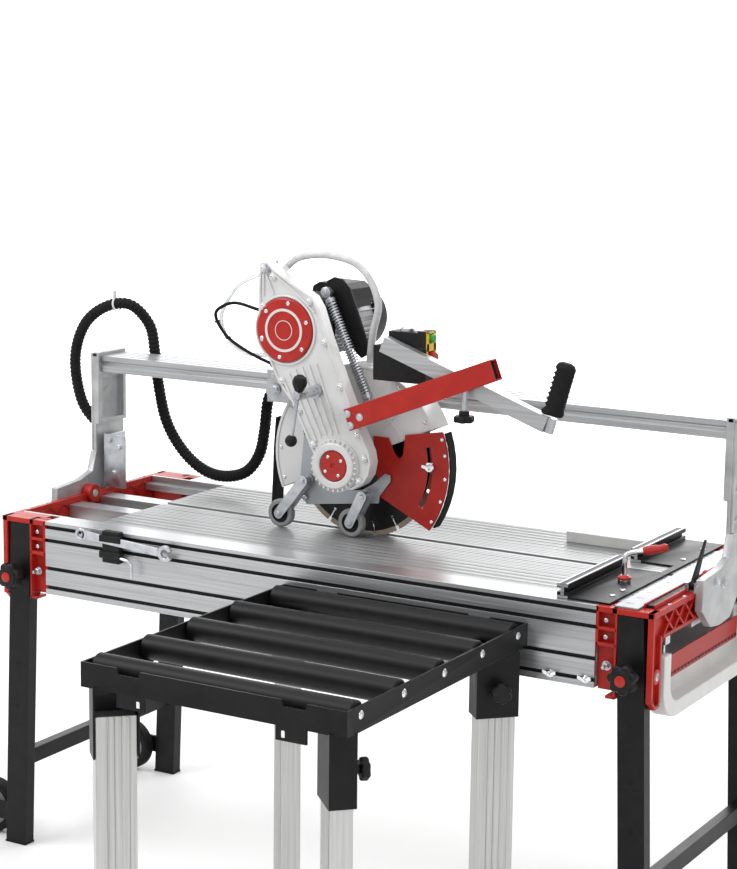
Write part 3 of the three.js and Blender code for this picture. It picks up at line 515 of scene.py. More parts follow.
for name, s in (("front", -1), ("rear", 1)):
    body = f"{name}_wheel"
    centre = (-860, s * 262 - 18, 64)
    tyre = Piece().lathe([(45, 4), (50, 2), (58, 2), (62.5, 6), (62.5, 30), (58, 34), (50, 34), (45, 32)], centre,
                         (0, 1, 0), 56, ring=True)
    tyre.done(f"wheel_{name}_tyre", RUBBER, body, bevel=0.6, replaces=[f"transport_wheel_{name}"])
    rim = Piece().lathe([(9, 0), (22, 0), (24, 8), (44, 8), (46, 4), (46, 32), (44, 28), (24, 28), (22, 36), (9, 36)],
                        centre, (0, 1, 0), 48, ring=True)
    for k in range(6):
        a = k * math.tau / 6
        p = Vector((centre[0] + 33 * math.cos(a), centre[1] + 6, centre[2] + 33 * math.sin(a)))
        rim.rod(p, p + Vector((0, 24, 0)), 4, 12)
    rim.done(f"wheel_{name}_rim", GREY_TYRE, body, bevel=0.8)

# ------------------------------------------------------------------ bridge
for side, s in (("left", -1), ("right", 1)):
    refine(f"upright_{side}", CAST, bevel=2.0)
    detail = Piece()
    for y0, y1 in ((41, 51), (139, 149)):
        detail.box(*sorted((s * 797, s * 803)), y0, y1, 860, 1088)
    for z in (880, 940, 1000):
        arc = [(50 + 90 * t, z + 56 * t ** 1.8) for t in [i / 8 for i in range(9)]]
        arc += [(a, b - 5) for a, b in reversed(arc)]
        detail.prism(arc, "YZ", *sorted((s * 790, s * 801)))
    detail.box(*sorted((s * 784, s * 803)), 41, 149, 1084, 1093)
    detail.done(f"upright_{side}_ribs", CAST, "bridge", bevel=1.2)
    bolts = Piece()
    bolts.hexbolt((s * 806, -43, 778), (s, 0, 0), 8, 6)
    bolts.screw((s * 806, 0, 768), (s, 0, 0), 12, 3)
    for y in (70, 120):
        bolts.hexbolt((s * 797, y, 1072), (s, 0, 0), 6, 5)
    bolts.done(f"upright_{side}_bolts", ZINC, "bridge")

refine("bridge_beam", BRUSHED, bevel=0.8)
lines = Piece()
for z in (1054, 1058, 1076, 1080):
    lines.box(-778, 778, 51.4, 52.2, z - 0.6, z + 0.6)
    lines.box(-778, 778, 148.8, 149.6, z - 0.6, z + 0.6)
for y in (70, 90, 110, 130):
    lines.box(-778, 778, y - 0.8, y + 0.8, 1085.8, 1086.7)
lines.done("bridge_beam_lines", BRUSHED, "bridge")

refine("tilt_bracket", ZINC, bevel=0.8)
lock = Piece()
for x, z in ((-748, 808), (-732, 872), (-760, 886)):
    lock.hexbolt((x, 56, z), (0, -1, 0), 6, 5)
lock.hexbolt((-774, 96, 834), (1, 0, 0), 9, 8)
lock.done("tilt_lock_bolts", ZINC, "bed", bevel=0.4)

lug = Piece()
for x0, x1 in ((768.5, 775.6), (787.4, 790)):
    lug.box(x0, x1, -116, -92, 767, 788)
lug.hexbolt((790, -104, 781), (1, 0, 0), 6, 4)
lug.done("tilt_lever_lug", ZINC, "bed", bevel=1.2)
lever = Piece().lathe([(8.5, 0), (10, 1), (10, 10), (8.5, 11)], (776, -104, 781), (1, 0, 0), 32)
lever.prism([
    (-112, 780), (-108, 774), (-96, 776), (-84, 792), (-70, 816), (-57, 840), (-46, 860), (-49, 862), (-62, 848), (-78, 830),
    (-94, 812), (-108, 796),
], "YZ", 779, 784)
lever.done("tilt_lever_blade", BLACK, "tilt_lever", bevel=0.8, replaces=["tilt_lock_lever"])

# corrugated supply conduit, curving from the bridge to the travelling carriage as one fixed shape
REAR = 178
conduit_points = [
    (-812, 150, 880), (-842, 130, 902), (-888, 118, 958), (-902, 110, 1060), (-876, 112, 1144), (-822, 122, 1191),
    (-768, 150, 1198), (-732, REAR, 1150), (-716, REAR, 1084), (-706, REAR, 1008), (-684, REAR, 924),
    (-642, REAR, 862), (-586, REAR, 820), (-524, REAR, 806), (-458, REAR, 822), (-419, REAR, 868),
    (-404, REAR, 930), (-394, REAR, 1000), (-366, REAR, 1044), (-340, REAR, 1055), (-313, REAR, 1056),
]
conduit_path = even_path(conduit_points, 2.4)
wave = (14.4, 13.2, 12.0, 13.2)
conduit = Piece().sweep(conduit_path, lambda i: wave[i % 4], 14)
conduit_obj = conduit.done("conduit", RUBBER, "bridge", angle=60, replaces=["supply_conduit"], ride=False)
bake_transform(conduit_obj)
strap = Piece().lathe([(15, -2.5), (16.6, -2.5), (16.6, 2.5), (15, 2.5)], (-795, 134, 1198), (1, 0, 0.2), 28, ring=True)
strap.box(-801, -796, 126, 136, 1212, 1232).rod((-798, 131, 1200), (-798, 80, 1090), 1.4, 10)
strap.done("conduit_clip", TRAY, "bridge", bevel=0.5)

# ------------------------------------------------------------------ carriage
refine("carriage", CAST, bevel=1.6)
bolts = Piece()
for x in (-292, -56):
    for z in (1034, 1084):
        bolts.hexbolt((x, 40, z), (0, -1, 0), 4.6, 2)
bolts.hexbolt((-222, -60, 1072), (0, -1, 0), 9, 7)
bolts.done("carriage_bolts", ZINC, "carriage")

# ------------------------------------------------------------------ head casting and drive
refine("head_frame", CAST, bevel=1.2)
refine("belt_cover", WHITE, bevel=4.0)
MOTOR = Vector((-158, 0, 1214))
SPINDLE = Vector((-30, 0, 934))
COVER_EDGE = [
    (-223, 1354), (-204, 1357), (-186, 1341), (-123, 1306), (-92, 1290), (-76, 1267), (-52, 1201), (-8, 1099), (36, 1002),
    (52, 972), (57, 948), (52, 920), (37, 899), (14, 886), (-14, 881), (-42, 886), (-62, 901), (-75, 922), (-83, 950),
    (-99, 980), (-111, 1003), (-124, 1030), (-140, 1060), (-158, 1080), (-178, 1106), (-196, 1142), (-214, 1174),
    (-225, 1220), (-226, 1295),
]


def inset(points, distance):
    """the closed outline moved inwards"""
    out = []
    for i, p in enumerate(points):
        p, before, after = Vector(p), Vector(points[i - 1]), Vector(points[(i + 1) % len(points)])
        normals = [Vector((e.y, -e.x)).normalized() for e in (p - before, after - p)]
        middle = (normals[0] + normals[1]).normalized()
        out.append(p + middle * distance / max(middle.dot(normals[0]), 0.5))
    return out


cover = Piece()
edge_out, edge_in = inset(COVER_EDGE, 0.6), inset(COVER_EDGE, 5.4)
cover.loft([
    cover.verts([(o.x, -119, o.y), (o.x, -124, o.y), (i.x, -124, i.y), (i.x, -119, i.y)]) for o, i in zip(edge_out, edge_in)
], closed=True)
down = (SPINDLE - MOTOR).normalized()
across = Vector((down.z, 0, -down.x))
for k, offset in enumerate((-48, -30, -12, 6, 24, 42)):
    a = MOTOR + down * (84 + abs(k - 2.5) * 3) - across * offset
    b = SPINDLE - down * (70 - abs(k - 2.5) * 4) - across * (offset * 0.8)
    n = across * 2.3
    corners = [a - n, b - n, b + n, a + n]
    cover.prism([(p.x, p.z) for p in corners], "XZ", -124.4, -119)
cover.lathe([(71, 0), (76, 0), (76, 4), (73, 5), (71, 4)], (MOTOR.x, -120, MOTOR.z), (0, -1, 0), 64, ring=True)
cover.lathe([(34, 0), (58, 0), (58, 4), (50, 6), (50, 12), (47, 14), (36, 14), (34, 12)], (SPINDLE.x, -120, SPINDLE.z),
            (0, -1, 0), 56, ring=True)
for k in range(28):
    a = k * math.tau / 28
    d = Vector((math.cos(a), 0, math.sin(a)))
    n = Vector((-math.sin(a), 0, math.cos(a))) * 2.2
    p, q = SPINDLE + d * 49, SPINDLE + d * 56.5
    cover.prism([(v.x, v.z) for v in (p - n, q - n, q + n, p + n)], "XZ", -131, -124)
bosses = [(-214, 1343), (-190, 1326), (-214, 1262), (-214, 1190), (-98, 1280), (-60, 1196), (-20, 1104), (22, 1006), (40, 956),
          (28, 906), (-28, 892), (-64, 916), (-86, 974), (-122, 1046), (-166, 1104)]
for x, z in bosses:
    cover.lathe([(8.5, 0), (8.5, 7), (7.2, 8), (0, 8)], (x, -118, z), (0, -1, 0), 24)
for a, b in (((-210, 1336), (-188, 1290)), ((-196, 1338), (-132, 1296)), ((-214, 1330), (-214, 1284)), ((-132, 1296), (-84, 1256))):
    a, b = Vector(a), Vector(b)
    n = (b - a).orthogonal().normalized() * 2
    cover.prism([tuple(v) for v in (a - n, b - n, b + n, a + n)], "XZ", -124, -119)
cover.done("belt_cover_ribs", WHITE, "head", bevel=0.8)
heads = Piece()
for x, z in bosses:
    heads.screw((x, -126, z), (0, -1, 0), 4.8, 2.6)
for k in range(6):
    a = k * math.tau / 6 + 0.35
    heads.screw((MOTOR.x + 59 * math.cos(a), -128, MOTOR.z + 59 * math.sin(a)), (0, -1, 0), 4.6, 2.6)
for k in range(4):
    a = k * math.tau / 4 + 0.6
    heads.screw((SPINDLE.x + 23 * math.cos(a), -132, SPINDLE.z + 23 * math.sin(a)), (0, -1, 0), 3.8, 2.2)
heads.done("cover_screws", CHROME, "head")
disc = Piece().lathe([(69, 0), (69, 5), (66, 7), (0, 7.6)], (MOTOR.x, -121, MOTOR.z), (0, -1, 0), 72)
disc.done("motor_cap_disc", RED_GLOSS, "head", bevel=0.5, replaces=["motor_cap"])
ring = Piece().lathe([(41, 0), (46.5, 0), (46.5, 1.6), (41, 1.6)], (MOTOR.x, -128.2, MOTOR.z), (0, -1, 0), 64, ring=True)
ring.lathe([(20, 0), (21.5, 0), (21.5, 1.2), (20, 1.2)], (MOTOR.x, -128.2, MOTOR.z), (0, -1, 0), 48, ring=True)
ring.done("motor_cap_ring", WHITE, "head")
small = Piece().lathe([(33, 0), (33, 9), (31, 11.5), (6, 11.8), (5, 9), (0, 9)], (SPINDLE.x, -120.4, SPINDLE.z), (0, -1, 0), 48)
small.done("spindle_cap_disc", RED_GLOSS, "head", bevel=0.4, replaces=["spindle_cap"])

# motor: finned barrel, fan cowl with slots, terminal box
barrel = Piece().lathe([(60, 0), (64, 2), (64, 190), (58, 196)], (MOTOR.x, -47.5, MOTOR.z), (0, 1, 0), 48)
for k in range(34):
    a = k * math.tau / 34
    d = Vector((math.cos(a), 0, math.sin(a)))
    n = Vector((-math.sin(a), 0, math.cos(a))) * 1.1
    base, tip = MOTOR + d * 62, MOTOR + d * 71.5
    corners = [base - n, tip - n * 0.7, tip + n * 0.7, base + n]
    barrel.prism([(p.x, p.z) for p in corners], "XZ", -30, 140)
barrel.done("motor_barrel", MOTOR_ALU, "head", bevel=0.3, replaces=["motor"])
cowl = Piece().lathe([(66, 0), (72, 2), (72, 44), (66, 56), (40, 60), (0, 60)], (MOTOR.x, 144, MOTOR.z), (0, 1, 0), 56)
for r in (24, 36, 48):
    cowl.lathe([(r, 0), (r + 3, 0), (r + 3, 2.5), (r, 2.5)], (MOTOR.x, 203.6, MOTOR.z), (0, 1, 0), 48, ring=True)
cowl.lathe([(66, 0), (72, 2), (72, 14), (66, 16)], (MOTOR.x, -47.5, MOTOR.z), (0, 1, 0), 56)
cowl.prism([(-178, 1250), (-84, 1250), (-78, 1268), (-84, 1292), (-100, 1303), (-160, 1305), (-176, 1296), (-182, 1270)], "XZ",
           18, 112)
cowl.done("motor_cowl", PLASTIC, "head", bevel=3.0)
for node, mat in (("motor_pulley", ZINC), ("spindle", ZINC), ("drive_belt", RUBBER)):
    refine(node, mat, bevel=0.4)

# ------------------------------------------------------------------ blade and guards
RADIUS = 175
disc = Piece().lathe([(12.5, -1.3), (RADIUS - 9, -1.3), (RADIUS - 9, 1.3), (12.5, 1.3)], SPINDLE, (0, 1, 0), 120, ring=True)
disc.done("blade_core", BLADE, "blade_spindle", replaces=["blade"])
segments = Piece()
count = 18
for k in range(count):
    a0 = (k + 0.07) * math.tau / count
    a1 = (k + 0.93) * math.tau / count
    angles = [a0 + (a1 - a0) * i / 6 for i in range(7)]
    pts = [(SPINDLE.x + RADIUS * math.cos(a), SPINDLE.z + RADIUS * math.sin(a)) for a in angles]
    pts += [(SPINDLE.x + (RADIUS - 11) * math.cos(a), SPINDLE.z + (RADIUS - 11) * math.sin(a)) for a in reversed(angles)]
    segments.prism(pts, "XZ", -1.7, 1.7)
segments.done("blade_segments", SEGMENT, "blade_spindle")
slots = Piece()
for k in range(count):
    a = k * math.tau / count
    d = Vector((math.cos(a), 0, math.sin(a)))
    n = Vector((-math.sin(a), 0, math.cos(a))) * 1.4
    inner, outer = SPINDLE + d * (RADIUS - 30), SPINDLE + d * (RADIUS - 9)
    slots.prism([(p.x, p.z) for p in (inner - n, outer - n, outer + n, inner + n)], "XZ", -1.45, 1.45)
    slots.lathe([(3.2, 0), (3.2, 2.9)], SPINDLE + d * (RADIUS - 31) - Vector((0, 1.45, 0)), (0, 1, 0), 14)
slots.done("blade_gullets", CHROME, "blade_spindle")

refine("blade_guard", WHITE, bevel=2.4)
trim = Piece()
for angle in (48, 84, 120, 150):
    a = math.radians(angle)
    d = Vector((math.cos(a), 0, math.sin(a)))
    n = Vector((-math.sin(a), 0, math.cos(a))) * 2.2
    p, q = SPINDLE + d * 88, SPINDLE + d * 198
    trim.prism([(v.x, v.z) for v in (p - n, q - n, q + n, p + n)], "XZ", -36.3, -33)
steps = [math.radians(24 + 180 * i / 40) for i in range(41)]
for r0, r1, depth in ((200, 206, 36.3), (120, 124, 35.8)):
    arc = [(SPINDLE.x + r1 * math.cos(a), SPINDLE.z + r1 * math.sin(a)) for a in steps]
    arc += [(SPINDLE.x + r0 * math.cos(a), SPINDLE.z + r0 * math.sin(a)) for a in reversed(steps)]
    trim.prism(arc, "XZ", -depth, -33)
trim.done("blade_guard_ribs", WHITE, "head", bevel=0.7)
guard_screws = Piece()
for angle in (30, 58, 92, 178, 198):
    a = math.radians(angle)
    guard_screws.screw((SPINDLE.x + 193 * math.cos(a), -34, SPINDLE.z + 193 * math.sin(a)), (0, -1, 0), 4.5, 3)
guard_screws.done("guard_screws", CHROME, "head")

refine("guard_flap", RED, bevel=0.7)
refine("guard_rubber", RUBBER, bevel=0.8)
refine("splash_flap", RUBBER, bevel=0.8)
flap_bits = Piece()
for angle in (-31, -18, -5, 8, 17):
    a = math.radians(angle)
    flap_bits.screw((SPINDLE.x + 222 * math.cos(a), -41, SPINDLE.z + 222 * math.sin(a)), (0, -1, 0), 4.2, 2.4)
p = (153, -41, 937)
flap_bits.lathe([(10, 0), (10, 2), (6, 2), (6, 8), (0, 9)], p, (0, -1, 0), 24)
for q in (-1, 1):
    flap_bits.prism([(153 + q * 4, 933), (153 + q * 15, 936), (153 + q * 14, 942), (153 + q * 4, 941)], "XZ", -49, -46.5)
flap_bits.done("flap_screws", CHROME, "flap", bevel=0.4)

# ------------------------------------------------------------------ guide wheels and their bracket
refine("wheel_bracket", SILVER, bevel=0.7)


def strip(a, ra, b, rb, steps=10):
    """outline of a flat bar with round ends"""
    heading = math.atan2(b[1] - a[1], b[0] - a[0])
    out = []
    for centre, r, start in ((a, ra, heading + math.pi / 2), (b, rb, heading - math.pi / 2)):
        for k in range(steps + 1):
            t = start + math.pi * k / steps
            out.append((centre[0] + r * math.cos(t), centre[1] + r * math.sin(t)))
    return out


bits = Piece()
for x, z, wheel in ((-141, 880, -202), (8, 862, -22)):
    bits.prism(strip((x, z), 12, (wheel, 800.5), 11), "XZ", -77.5, -74.2)
    bits.rod((x, -76, z), (x, -47, z), 8, 24)
    bits.hexbolt((x, -77.5, z), (0, -1, 0), 5.5, 4)
for x, z in ((-140, 881), (-149, 838), (10, 860), (-124, 1010)):
    bits.screw((x, -53 if z < 900 else -47.6, z), (0, -1, 0), 6, 3.6)
for x, z in ((-202, 800.5), (-22, 800.5)):
    bits.hexbolt((x, -77.5, z), (0, -1, 0), 5.5, 4)
bits.done("bracket_screws", ZINC, "head")
knobs = Piece()
for x, z in ((-133, 1032), (-138, 987), (-121, 984)):
    knobs.rod((x, -47.6, z), (x, -56, z), 7, 20)
    knobs.lobed((x, -56, z), (0, -1, 0), 10, 1.6, 6, 9)
knobs.done("bracket_knobs", PLASTIC, "head", bevel=0.5)
for side, x in (("left", -202), ("right", -22)):
    centre = (x, -72, 800.5)
    tyre = Piece().lathe([(21, 0), (28, 0), (31, 3), (31, 15), (28, 18), (21, 18)], centre, (0, 1, 0), 56, ring=True)
    tyre.done(f"guide_{side}_tyre", GREY_TYRE, f"guide_{side}", bevel=0.5, replaces=[f"guide_wheel_{side}"])
    hub = Piece().lathe([(5.5, 0), (10, 0), (12, 4), (20, 4), (21.5, 1), (21.5, 17), (20, 14), (12, 14), (10, 18), (5.5, 18)],
                        centre, (0, 1, 0), 40, ring=True)
    hub.done(f"guide_{side}_hub", PLASTIC, f"guide_{side}", bevel=0.4)

# balance spring around its rod
top, low = Vector((-108, -35, 1290)), Vector((6, -35, 1056))
along = (low - top).normalized()
bar = Piece().rod(top, low, 5, 20)
for centre, r in ((top, 12), (low, 12)):
    bar.lathe([(r, 0), (r, 12), (r - 2, 13)], (centre.x, -30, centre.z), (0, -1, 0), 32)
    bar.hexbolt((centre.x, -43, centre.z), (0, -1, 0), 6, 4)
    bar.rod((centre.x, -32, centre.z), (centre.x, -10, centre.z), 5, 20)
bar.rod(top + along * 15, top + along * 24, 12, 28).rod(low - along * 24, low - along * 15, 12, 28)
bar.done("balance_bar", ZINC, "head", bevel=0.5, replaces=["balance_spring"])
u = along.orthogonal().normalized()
v = along.cross(u)
turns = 34
helix = []
for i in range(turns * 12 + 1):
    a = i * math.tau / 12
    centre = (top + along * 24).lerp(low - along * 24, i / (turns * 12))
    helix.append(centre + u * (10.6 * math.cos(a)) + v * (10.6 * math.sin(a)))
coil = Piece().sweep(helix, 1.9, 6)
coil.done("balance_coil", ZINC, "head")
backing = Piece().prism([
    (-122, 1312), (-104, 1322), (-82, 1318), (-64, 1300), (-46, 1256), (-22, 1196), (-8, 1166), (-34, 1150), (-78, 1190),
    (-112, 1260), (-126, 1300),
], "XZ", -14, -7)
backing.done("spring_backing", PLASTIC, "head", bevel=2.0)

# ------------------------------------------------------------------ support arm, handle, switch
arm = Piece()
low_edge, top_edge = ((22, 1018), (362, 1154)), ((6, 1062), (346, 1196))
for y0, y1 in ((-152, -149), (-123.5, -120.5)):
    arm.prism([*low_edge, top_edge[1], top_edge[0]], "XZ", y0, y1)
for (a, b), drop in ((low_edge, 3), (top_edge, -3)):
    arm.prism([a, b, (b[0] - drop * 0.37, b[1] + drop), (a[0] - drop * 0.37, a[1] + drop)], "XZ", -150, -122)
arm.done("support_arm_tube", RED, "head", bevel=0.8, replaces=["support_arm"])
# painted shade: a black fill inside the tube stands in for its dark interior seen at the open ends
hollow = Piece().prism([(24, 1022), (354, 1154), (340, 1191), (10, 1058)], "XZ", -149, -123.5)
hollow.done("support_arm_inside_shade", PLASTIC, "head")
arm_bits = Piece()
for x, z in ((16, 1054), (24, 1030), (46, 1050)):
    arm_bits.hexbolt((x, -152, z), (0, -1, 0), 6, 4)
arm_bits.done("arm_bolts", ZINC, "head")
refine("handle_tube", BRUSHED, bevel=1.6)
# pistol grip with finger grooves, lofted along its length
spine = [(467, 1090, 22, 13), (469, 1096, 24, 15)]
for k in range(25):
    t = k / 24
    groove = 3.4 * math.sin(t * 4 * math.tau) ** 2
    spine.append((471 + 24 * t + groove * 0.6, 1100 + 84 * t, 21 - groove * 0.9, 15.6 - groove * 0.25))
spine += [(496, 1188, 20, 15), (497, 1194, 17, 12), (498, 1197, 11, 7)]
rings = []
grip = Piece()
for x, z, wide, deep in spine:
    ring = []
    for k in range(28):
        a = k * math.tau / 28
        px, py = math.cos(a), math.sin(a)
        ring.append((x + wide * math.copysign(abs(px) ** 0.8, px), -108 + deep * math.copysign(abs(py) ** 0.8, py),
                     z + 0.22 * wide * -px))
    rings.append(grip.verts(ring))
grip.loft(rings)
grip.done("handle_grip_moulded", RUBBER, "head", angle=50, replaces=["handle_grip"])
knob = Piece().lobed((283, -135, 1060), (0, 0, 1), 22, 5, 6, 14).rod((283, -135, 1072), (283, -135, 1084), 11, 24)
knob.done("arm_knob_grip", PLASTIC, "arm_knob", bevel=0.6, replaces=["arm_clamp_knob"])
stem = Piece().rod((283, -135, 1080), (283, -135, 1136), 5.5, 20)
stem.done("arm_knob_stem", ZINC, "arm_knob")

refine("switch_box", PLASTIC, bevel=2.2)
plate = Piece()
for half, z0, z1 in ((9.8, 1190, 1231), (13.8, 1152, 1190)):
    plate.box(168.2, 170.4, -92, -72 - half, z0, z1).box(168.2, 170.4, -72 + half, -52, z0, z1)
for z0, z1 in ((1152, 1161.8), (1190.2, 1207), (1227, 1231)):
    plate.box(168.2, 170.4, -92, -52, z0, z1)
plate.done("switch_plate", YELLOW, "head", bevel=0.6)
for name, z, r, face, proud, mat in (("start", 1217, 9, 168, 10, GREEN), ("stop", 1176, 13, 170, 12, RED_GLOSS)):
    button = Piece().lathe([(r, 0), (r, proud + 2), (r - 2, proud + 4.4), (0, proud + 4.6)], (face - 4.5, -72, z), (1, 0, 0), 36)
    button.done(f"{name}_button_cap", mat, name, replaces=[f"{name}_button"])
cap = Piece().lathe([(15, 0), (15, 6), (11, 9), (0, 9.5)], (112, -72, 1228), (0, 0, 1), 32)
cap.done("switch_cap", ZINC, "head")

lever = Piece().lathe([(11, 0), (11, 80), (9, 85.5)], (-78, -120.5, 1090), (0, -1, 0), 32)
lever.lathe([(15, 0), (15, 12)], (-78, -122, 1090), (0, -1, 0), 32)
lever.rod((-76, -196, 1108), (-94, -196, 998), 4.6, 16)
lever.done("lock_lever_shaft", ZINC, "lock_lever", bevel=0.5, replaces=["plunge_lock_lever"])
balls = Piece().ball((-95, -196, 992), 13, 28)
balls.lathe([(5, -18), (9, -12), (15, 0), (16, 8), (13, 17), (6, 22), (0, 23)], (-75, -196, 1112), (0.1, 0, 1), 28)
balls.done("lock_lever_balls", PLASTIC, "lock_lever")

# ------------------------------------------------------------------ fence
refine("fence", BLACK, bevel=0.6)
refine("scale_bar", SILVER, bevel=0.4)
ticks = Piece()
for k in range(12):
    y = -270 + k * 48
    ticks.box(712, 728, y - 0.9, y + 0.9, 772.2, 772.5)
ticks.done("scale_ticks", PLASTIC, "bed")
ends = Piece()
for y in (-293, -12, 60, 300):
    lo, hi = (y - 0.8, y + 0.2) if y in (-293, 60) else (y - 0.2, y + 0.8)
    ends.box(576.5, 599.5, lo, hi, 769, 774).box(576.5, 599.5, lo, hi, 791, 796)
    ends.box(584.5, 591.5, lo, hi, 773, 792)
ends.box(578, 582, -292, -12.4, 796.2, 797.2).box(594, 598, -292, -12.4, 796.2, 797.2)
ends.box(578, 582, 60.4, 299, 796.2, 797.2).box(594, 598, 60.4, 299, 796.2, 797.2)
ends.done("fence_ends", BRUSHED, "fence")
heads = Piece()
for y in (-236, -186, 120, 230):
    heads.screw((668, y, 772.4), (0, 0, 1), 6, 3)
heads.done("fence_screws", CHROME, "fence")
track = Piece().box(754, 772, -270, 255, 768.2, 774)
track.done("scale_track", PLASTIC, "bed", bevel=0.8)
edges = Piece().box(751, 754.5, -276, 262, 768.2, 777).box(771.5, 775, -276, 262, 768.2, 777)
edges.done("track_edges", RED, "bed", bevel=0.8)

clamp = Piece().sweep(smooth_path([(642, -120, 782), (642, -120, 812), (644, -119, 826), (655, -113, 832), (676, -102, 836)], 8), 5, 16)
clamp.done("fence_clamp_rod", CHROME, "clamp", replaces=["fence_clamp"])
clamp_red = Piece().lathe([(8, 0), (10, 10), (9, 26), (7, 34), (9, 44), (6, 50)], (673, -104, 835), (0.86, 0.46, 0.18), 24)
clamp_red.lathe([(14, 0), (14, 4), (8, 8)], (642, -120, 778), (0, 0, 1), 28)
clamp_red.done("fence_clamp_grip", RED_GLOSS, "clamp", bevel=0.4)
foot = Piece().lathe([(13, 0), (13, 5)], (642, -120, 772.9), (0, 0, 1), 28)
foot.done("fence_clamp_foot", CHROME, "clamp", bevel=0.6)

# ------------------------------------------------------------------ hoses and cable on the head
hose = Piece().sweep(smooth_path([
    (-206, -46, 1338), (-172, -44, 1362), (-110, -40, 1371), (-40, -36, 1358), (0, -34, 1322), (18, -32, 1270),
    (4, -28, 1212), (-8, -20, 1146),
], 10), 8, 18)
hose.done("water_hose_tube", HOSE, "head", replaces=["water_hose"])
clear = Piece().sweep(smooth_path([
    (-236, -60, 1322), (-268, -60, 1319), (-322, -60, 1290), (-360, -60, 1236), (-362, -60, 1203), (-340, -60, 1166),
    (-300, -60, 1146), (-257, -60, 1145), (-214, -60, 1150),
], 10), 4.5, 14)
clear.done("feed_hose", CLEAR, "head")
cable = Piece().sweep(smooth_path([
    (-214, -70, 1242), (-258, -70, 1245), (-320, -72, 1256), (-362, -74, 1240), (-368, -74, 1218), (-340, -72, 1180),
    (-290, -70, 1152), (-236, -66, 1131), (-190, -62, 1120),
], 10), 3.8, 12)
cable.done("control_cable", RUBBER, "head")
valve = Piece().rod((-232, -60, 1322), (-232, -84, 1322), 10, 24).rod((-240, -60, 1322), (-212, -60, 1322), 8, 24)
valve.rod((-226, -60, 1306), (-226, -60, 1346), 6, 20).box(-240, -222, -70, -52, 1344, 1352)
valve.prism([(-222, 1128), (-196, 1112), (-186, 1150)], "XZ", -84, -58)
for p in ((-366, -74, 1212), (-338, -72, 1178)):
    valve.lathe([(4.2, -2), (6.4, -2), (6.4, 2), (4.2, 2)], p, (0.4, 0, -1), 16, ring=True)
valve.done("valve_and_gland", PLASTIC, "head", bevel=0.6)
bracket = Piece().box(-262, -250, -66, -63, 1275, 1312).box(-262, -226, -66, -63, 1304, 1312)
bracket.done("hose_bracket", ZINC, "head", bevel=0.6)
nut = Piece().lathe([(9, 0), (9, 4), (5, 4), (5, 9)], (-202, -120, 1338), (0, -1, 0), 24)
nut.done("apex_bolt", ZINC, "head")

# ------------------------------------------------------------------ roller table
refine("roller_frame", BLACK, bevel=1.0)
X0, X1, Y0, Y1 = -40, 523, -991.4, -307.4
roller_y = [Y0 + 44 + i * 149 for i in range(5)]
frame_screws = Piece()
for y in roller_y:
    frame_screws.screw((X1, y, 697), (1, 0, 0), 8, 4)
    frame_screws.screw((X0, y, 697), (-1, 0, 0), 8, 4)
frame_screws.done("roller_screws", CHROME, "bed")
lips = Piece()
lips.box(X0, X0 + 16, Y0, Y1, 666.2, 669.6).box(X1 - 16, X1, Y0, Y1, 666.2, 669.6)
for x0, x1 in ((44, 100), (383, 439)):
    for y in (Y0, Y1 - 4):
        lips.box(x0 - 4, x0, y - 0.2, y + 4.2, 640, 668).box(x1, x1 + 4, y - 0.2, y + 4.2, 640, 668)
lips.done("roller_frame_lips", BLACK, "bed", bevel=0.8)
slots = Piece()
for x in (88, 395):
    slots.prism([(x - 3.5, 646), (x + 3.5, 646), (x + 3.5, 658), (x - 3.5, 658)], "XZ", Y0 - 0.6, Y0 + 0.2)
slots.done("tab_holes", CHROME, "bed", bevel=1.5)
for i, y in enumerate(roller_y):
    body = f"roller_{i + 1}_body"
    a, b = X0 + 6.5, X1 - 6.5
    drum = Piece().lathe([(7.6, 0), (20, 0), (24, 3), (24, b - a - 3), (20, b - a), (7.6, b - a)], (a, y, 697), (1, 0, 0), 48)
    drum.done(f"roller_{i + 1}_drum", BLACK, body, bevel=0.8, replaces=[f"roller_{i + 1}"])

for corner in ("front_left", "front_right", "rear_left", "rear_right"):
    refine(f"roller_leg_{corner}", TUBE_ALU, bevel=1.0)
    low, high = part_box(f"roller_leg_{corner}")
    cx, cy = (low.x + high.x) * 500 - SHIFT.x, (low.y + high.y) * 500 - SHIFT.y
    angle = math.radians(45 if corner in ("front_left", "rear_right") else -45)
    c, s = math.cos(angle), math.sin(angle)

    def turned(points):
        return [(cx + a * c - b * s, cy + a * s + b * c) for a, b in points]

    foot = Piece().prism(turned([(-39, -21), (39, -21), (39, 21), (-39, 21)]), "XY", 0, 10)
    foot.done(f"roller_foot_{corner}", RUBBER, f"leg_{corner}", bevel=1.5)
    ribs = Piece()
    for k in range(9):
        a = -30 + k * 7.5
        for face in (-20.4, 19.8):
            ribs.prism(turned([(a - 1, face), (a + 1, face), (a + 1, face + 0.6), (a - 1, face + 0.6)]), "XY", 8, 608)
    ribs.done(f"roller_leg_ribs_{corner}", TUBE_ALU, f"leg_{corner}")
    if corner.endswith("right"):
        out = Vector((-s, c, 0)) if corner == "front_right" else Vector((s, -c, 0))
        base = Vector((cx, cy, 590)) + out * 25.6
        knob = Piece().rod(base, base + out * 14, 8, 24).lobed(base + out * 14, out, 21, 4, 6, 16)
        knob.done(f"leg_knob_{corner}", PLASTIC, "bed", bevel=0.8)

# ------------------------------------------------------------------ the frame's remaining finishes
for obj in frame["nodes"].values():
    if not obj.hide_render:
        obj.data.materials.clear()
        obj.data.materials.append(ZINC)

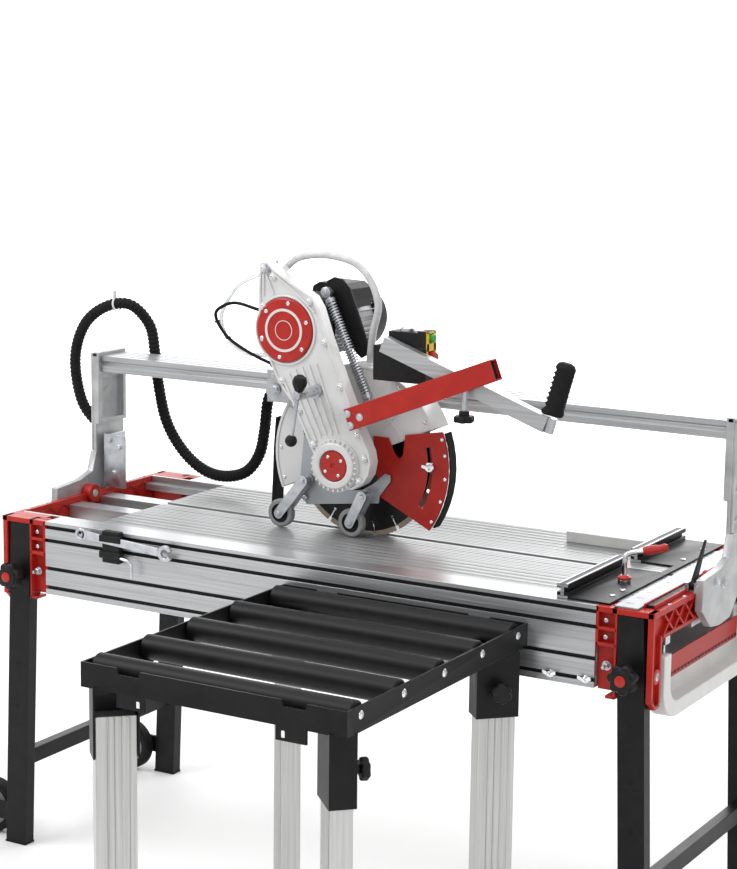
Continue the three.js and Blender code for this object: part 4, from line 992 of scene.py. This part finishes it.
# ------------------------------------------------------------------ stage
FLOOR = material("floor", (0.88, 0.88, 0.88), (0.90, 0.90, 0.90), (0.55, 0.7), scale=3, bump=0.02)
floor_mesh = bpy.data.meshes.new("floor")
sweep_profile = [(-9, 0), (7, 0), (8.6, 0.25), (9.7, 1.3), (10, 3), (10, 9)]
verts = [(x, y, z) for y, z in sweep_profile for x in (-14, 14)]
faces = [(2 * i, 2 * i + 1, 2 * i + 3, 2 * i + 2) for i in range(len(sweep_profile) - 1)]
floor_mesh.from_pydata(verts, [], faces)
floor_mesh.materials.append(FLOOR)
floor_mesh.polygons.foreach_set("use_smooth", [True] * len(faces))
floor = bpy.data.objects.new("floor", floor_mesh)
bpy.context.scene.collection.objects.link(floor)
floor.rotation_euler.z = AZIMUTH


def area_light(name, position, target, size, power):
    data = bpy.data.lights.new(name, "AREA")
    data.shape = "RECTANGLE"
    data.size, data.size_y = size
    data.energy = power
    light = bpy.data.objects.new(name, data)
    bpy.context.scene.collection.objects.link(light)
    light.location = position
    light.rotation_euler = (Vector(target) - Vector(position)).to_track_quat("-Z", "Y").to_euler()
    return light


area_light("key", (-2.6, -2.4, 4.2), (0, 0, 0.8), (2.6, 2.6), 105)
area_light("fill", (3.6, -2.6, 2.6), (0, 0, 0.7), (3.0, 2.4), 30)
area_light("top", (0.2, 0.4, 4.6), (0, 0, 0.7), (4.0, 4.0), 90)
area_light("back", (0.5, 4.5, 3.2), (0, 0, 0.9), (4.0, 2.0), 80)
area_light("backdrop", tuple(ahead * 6.2 + Vector((0, 0, 5.2))), tuple(ahead * 9.6 + Vector((0, 0, 3.2))), (9.0, 2.0), 700)
world = bpy.data.worlds.new("world")
world.use_nodes = True
world.node_tree.nodes["Background"].inputs["Color"].default_value = (1, 1, 1, 1)
world.node_tree.nodes["Background"].inputs["Strength"].default_value = 0.66
bpy.context.scene.world = world
bpy.context.scene.view_settings.view_transform = "Standard"
bpy.context.scene.view_settings.exposure = 0.0

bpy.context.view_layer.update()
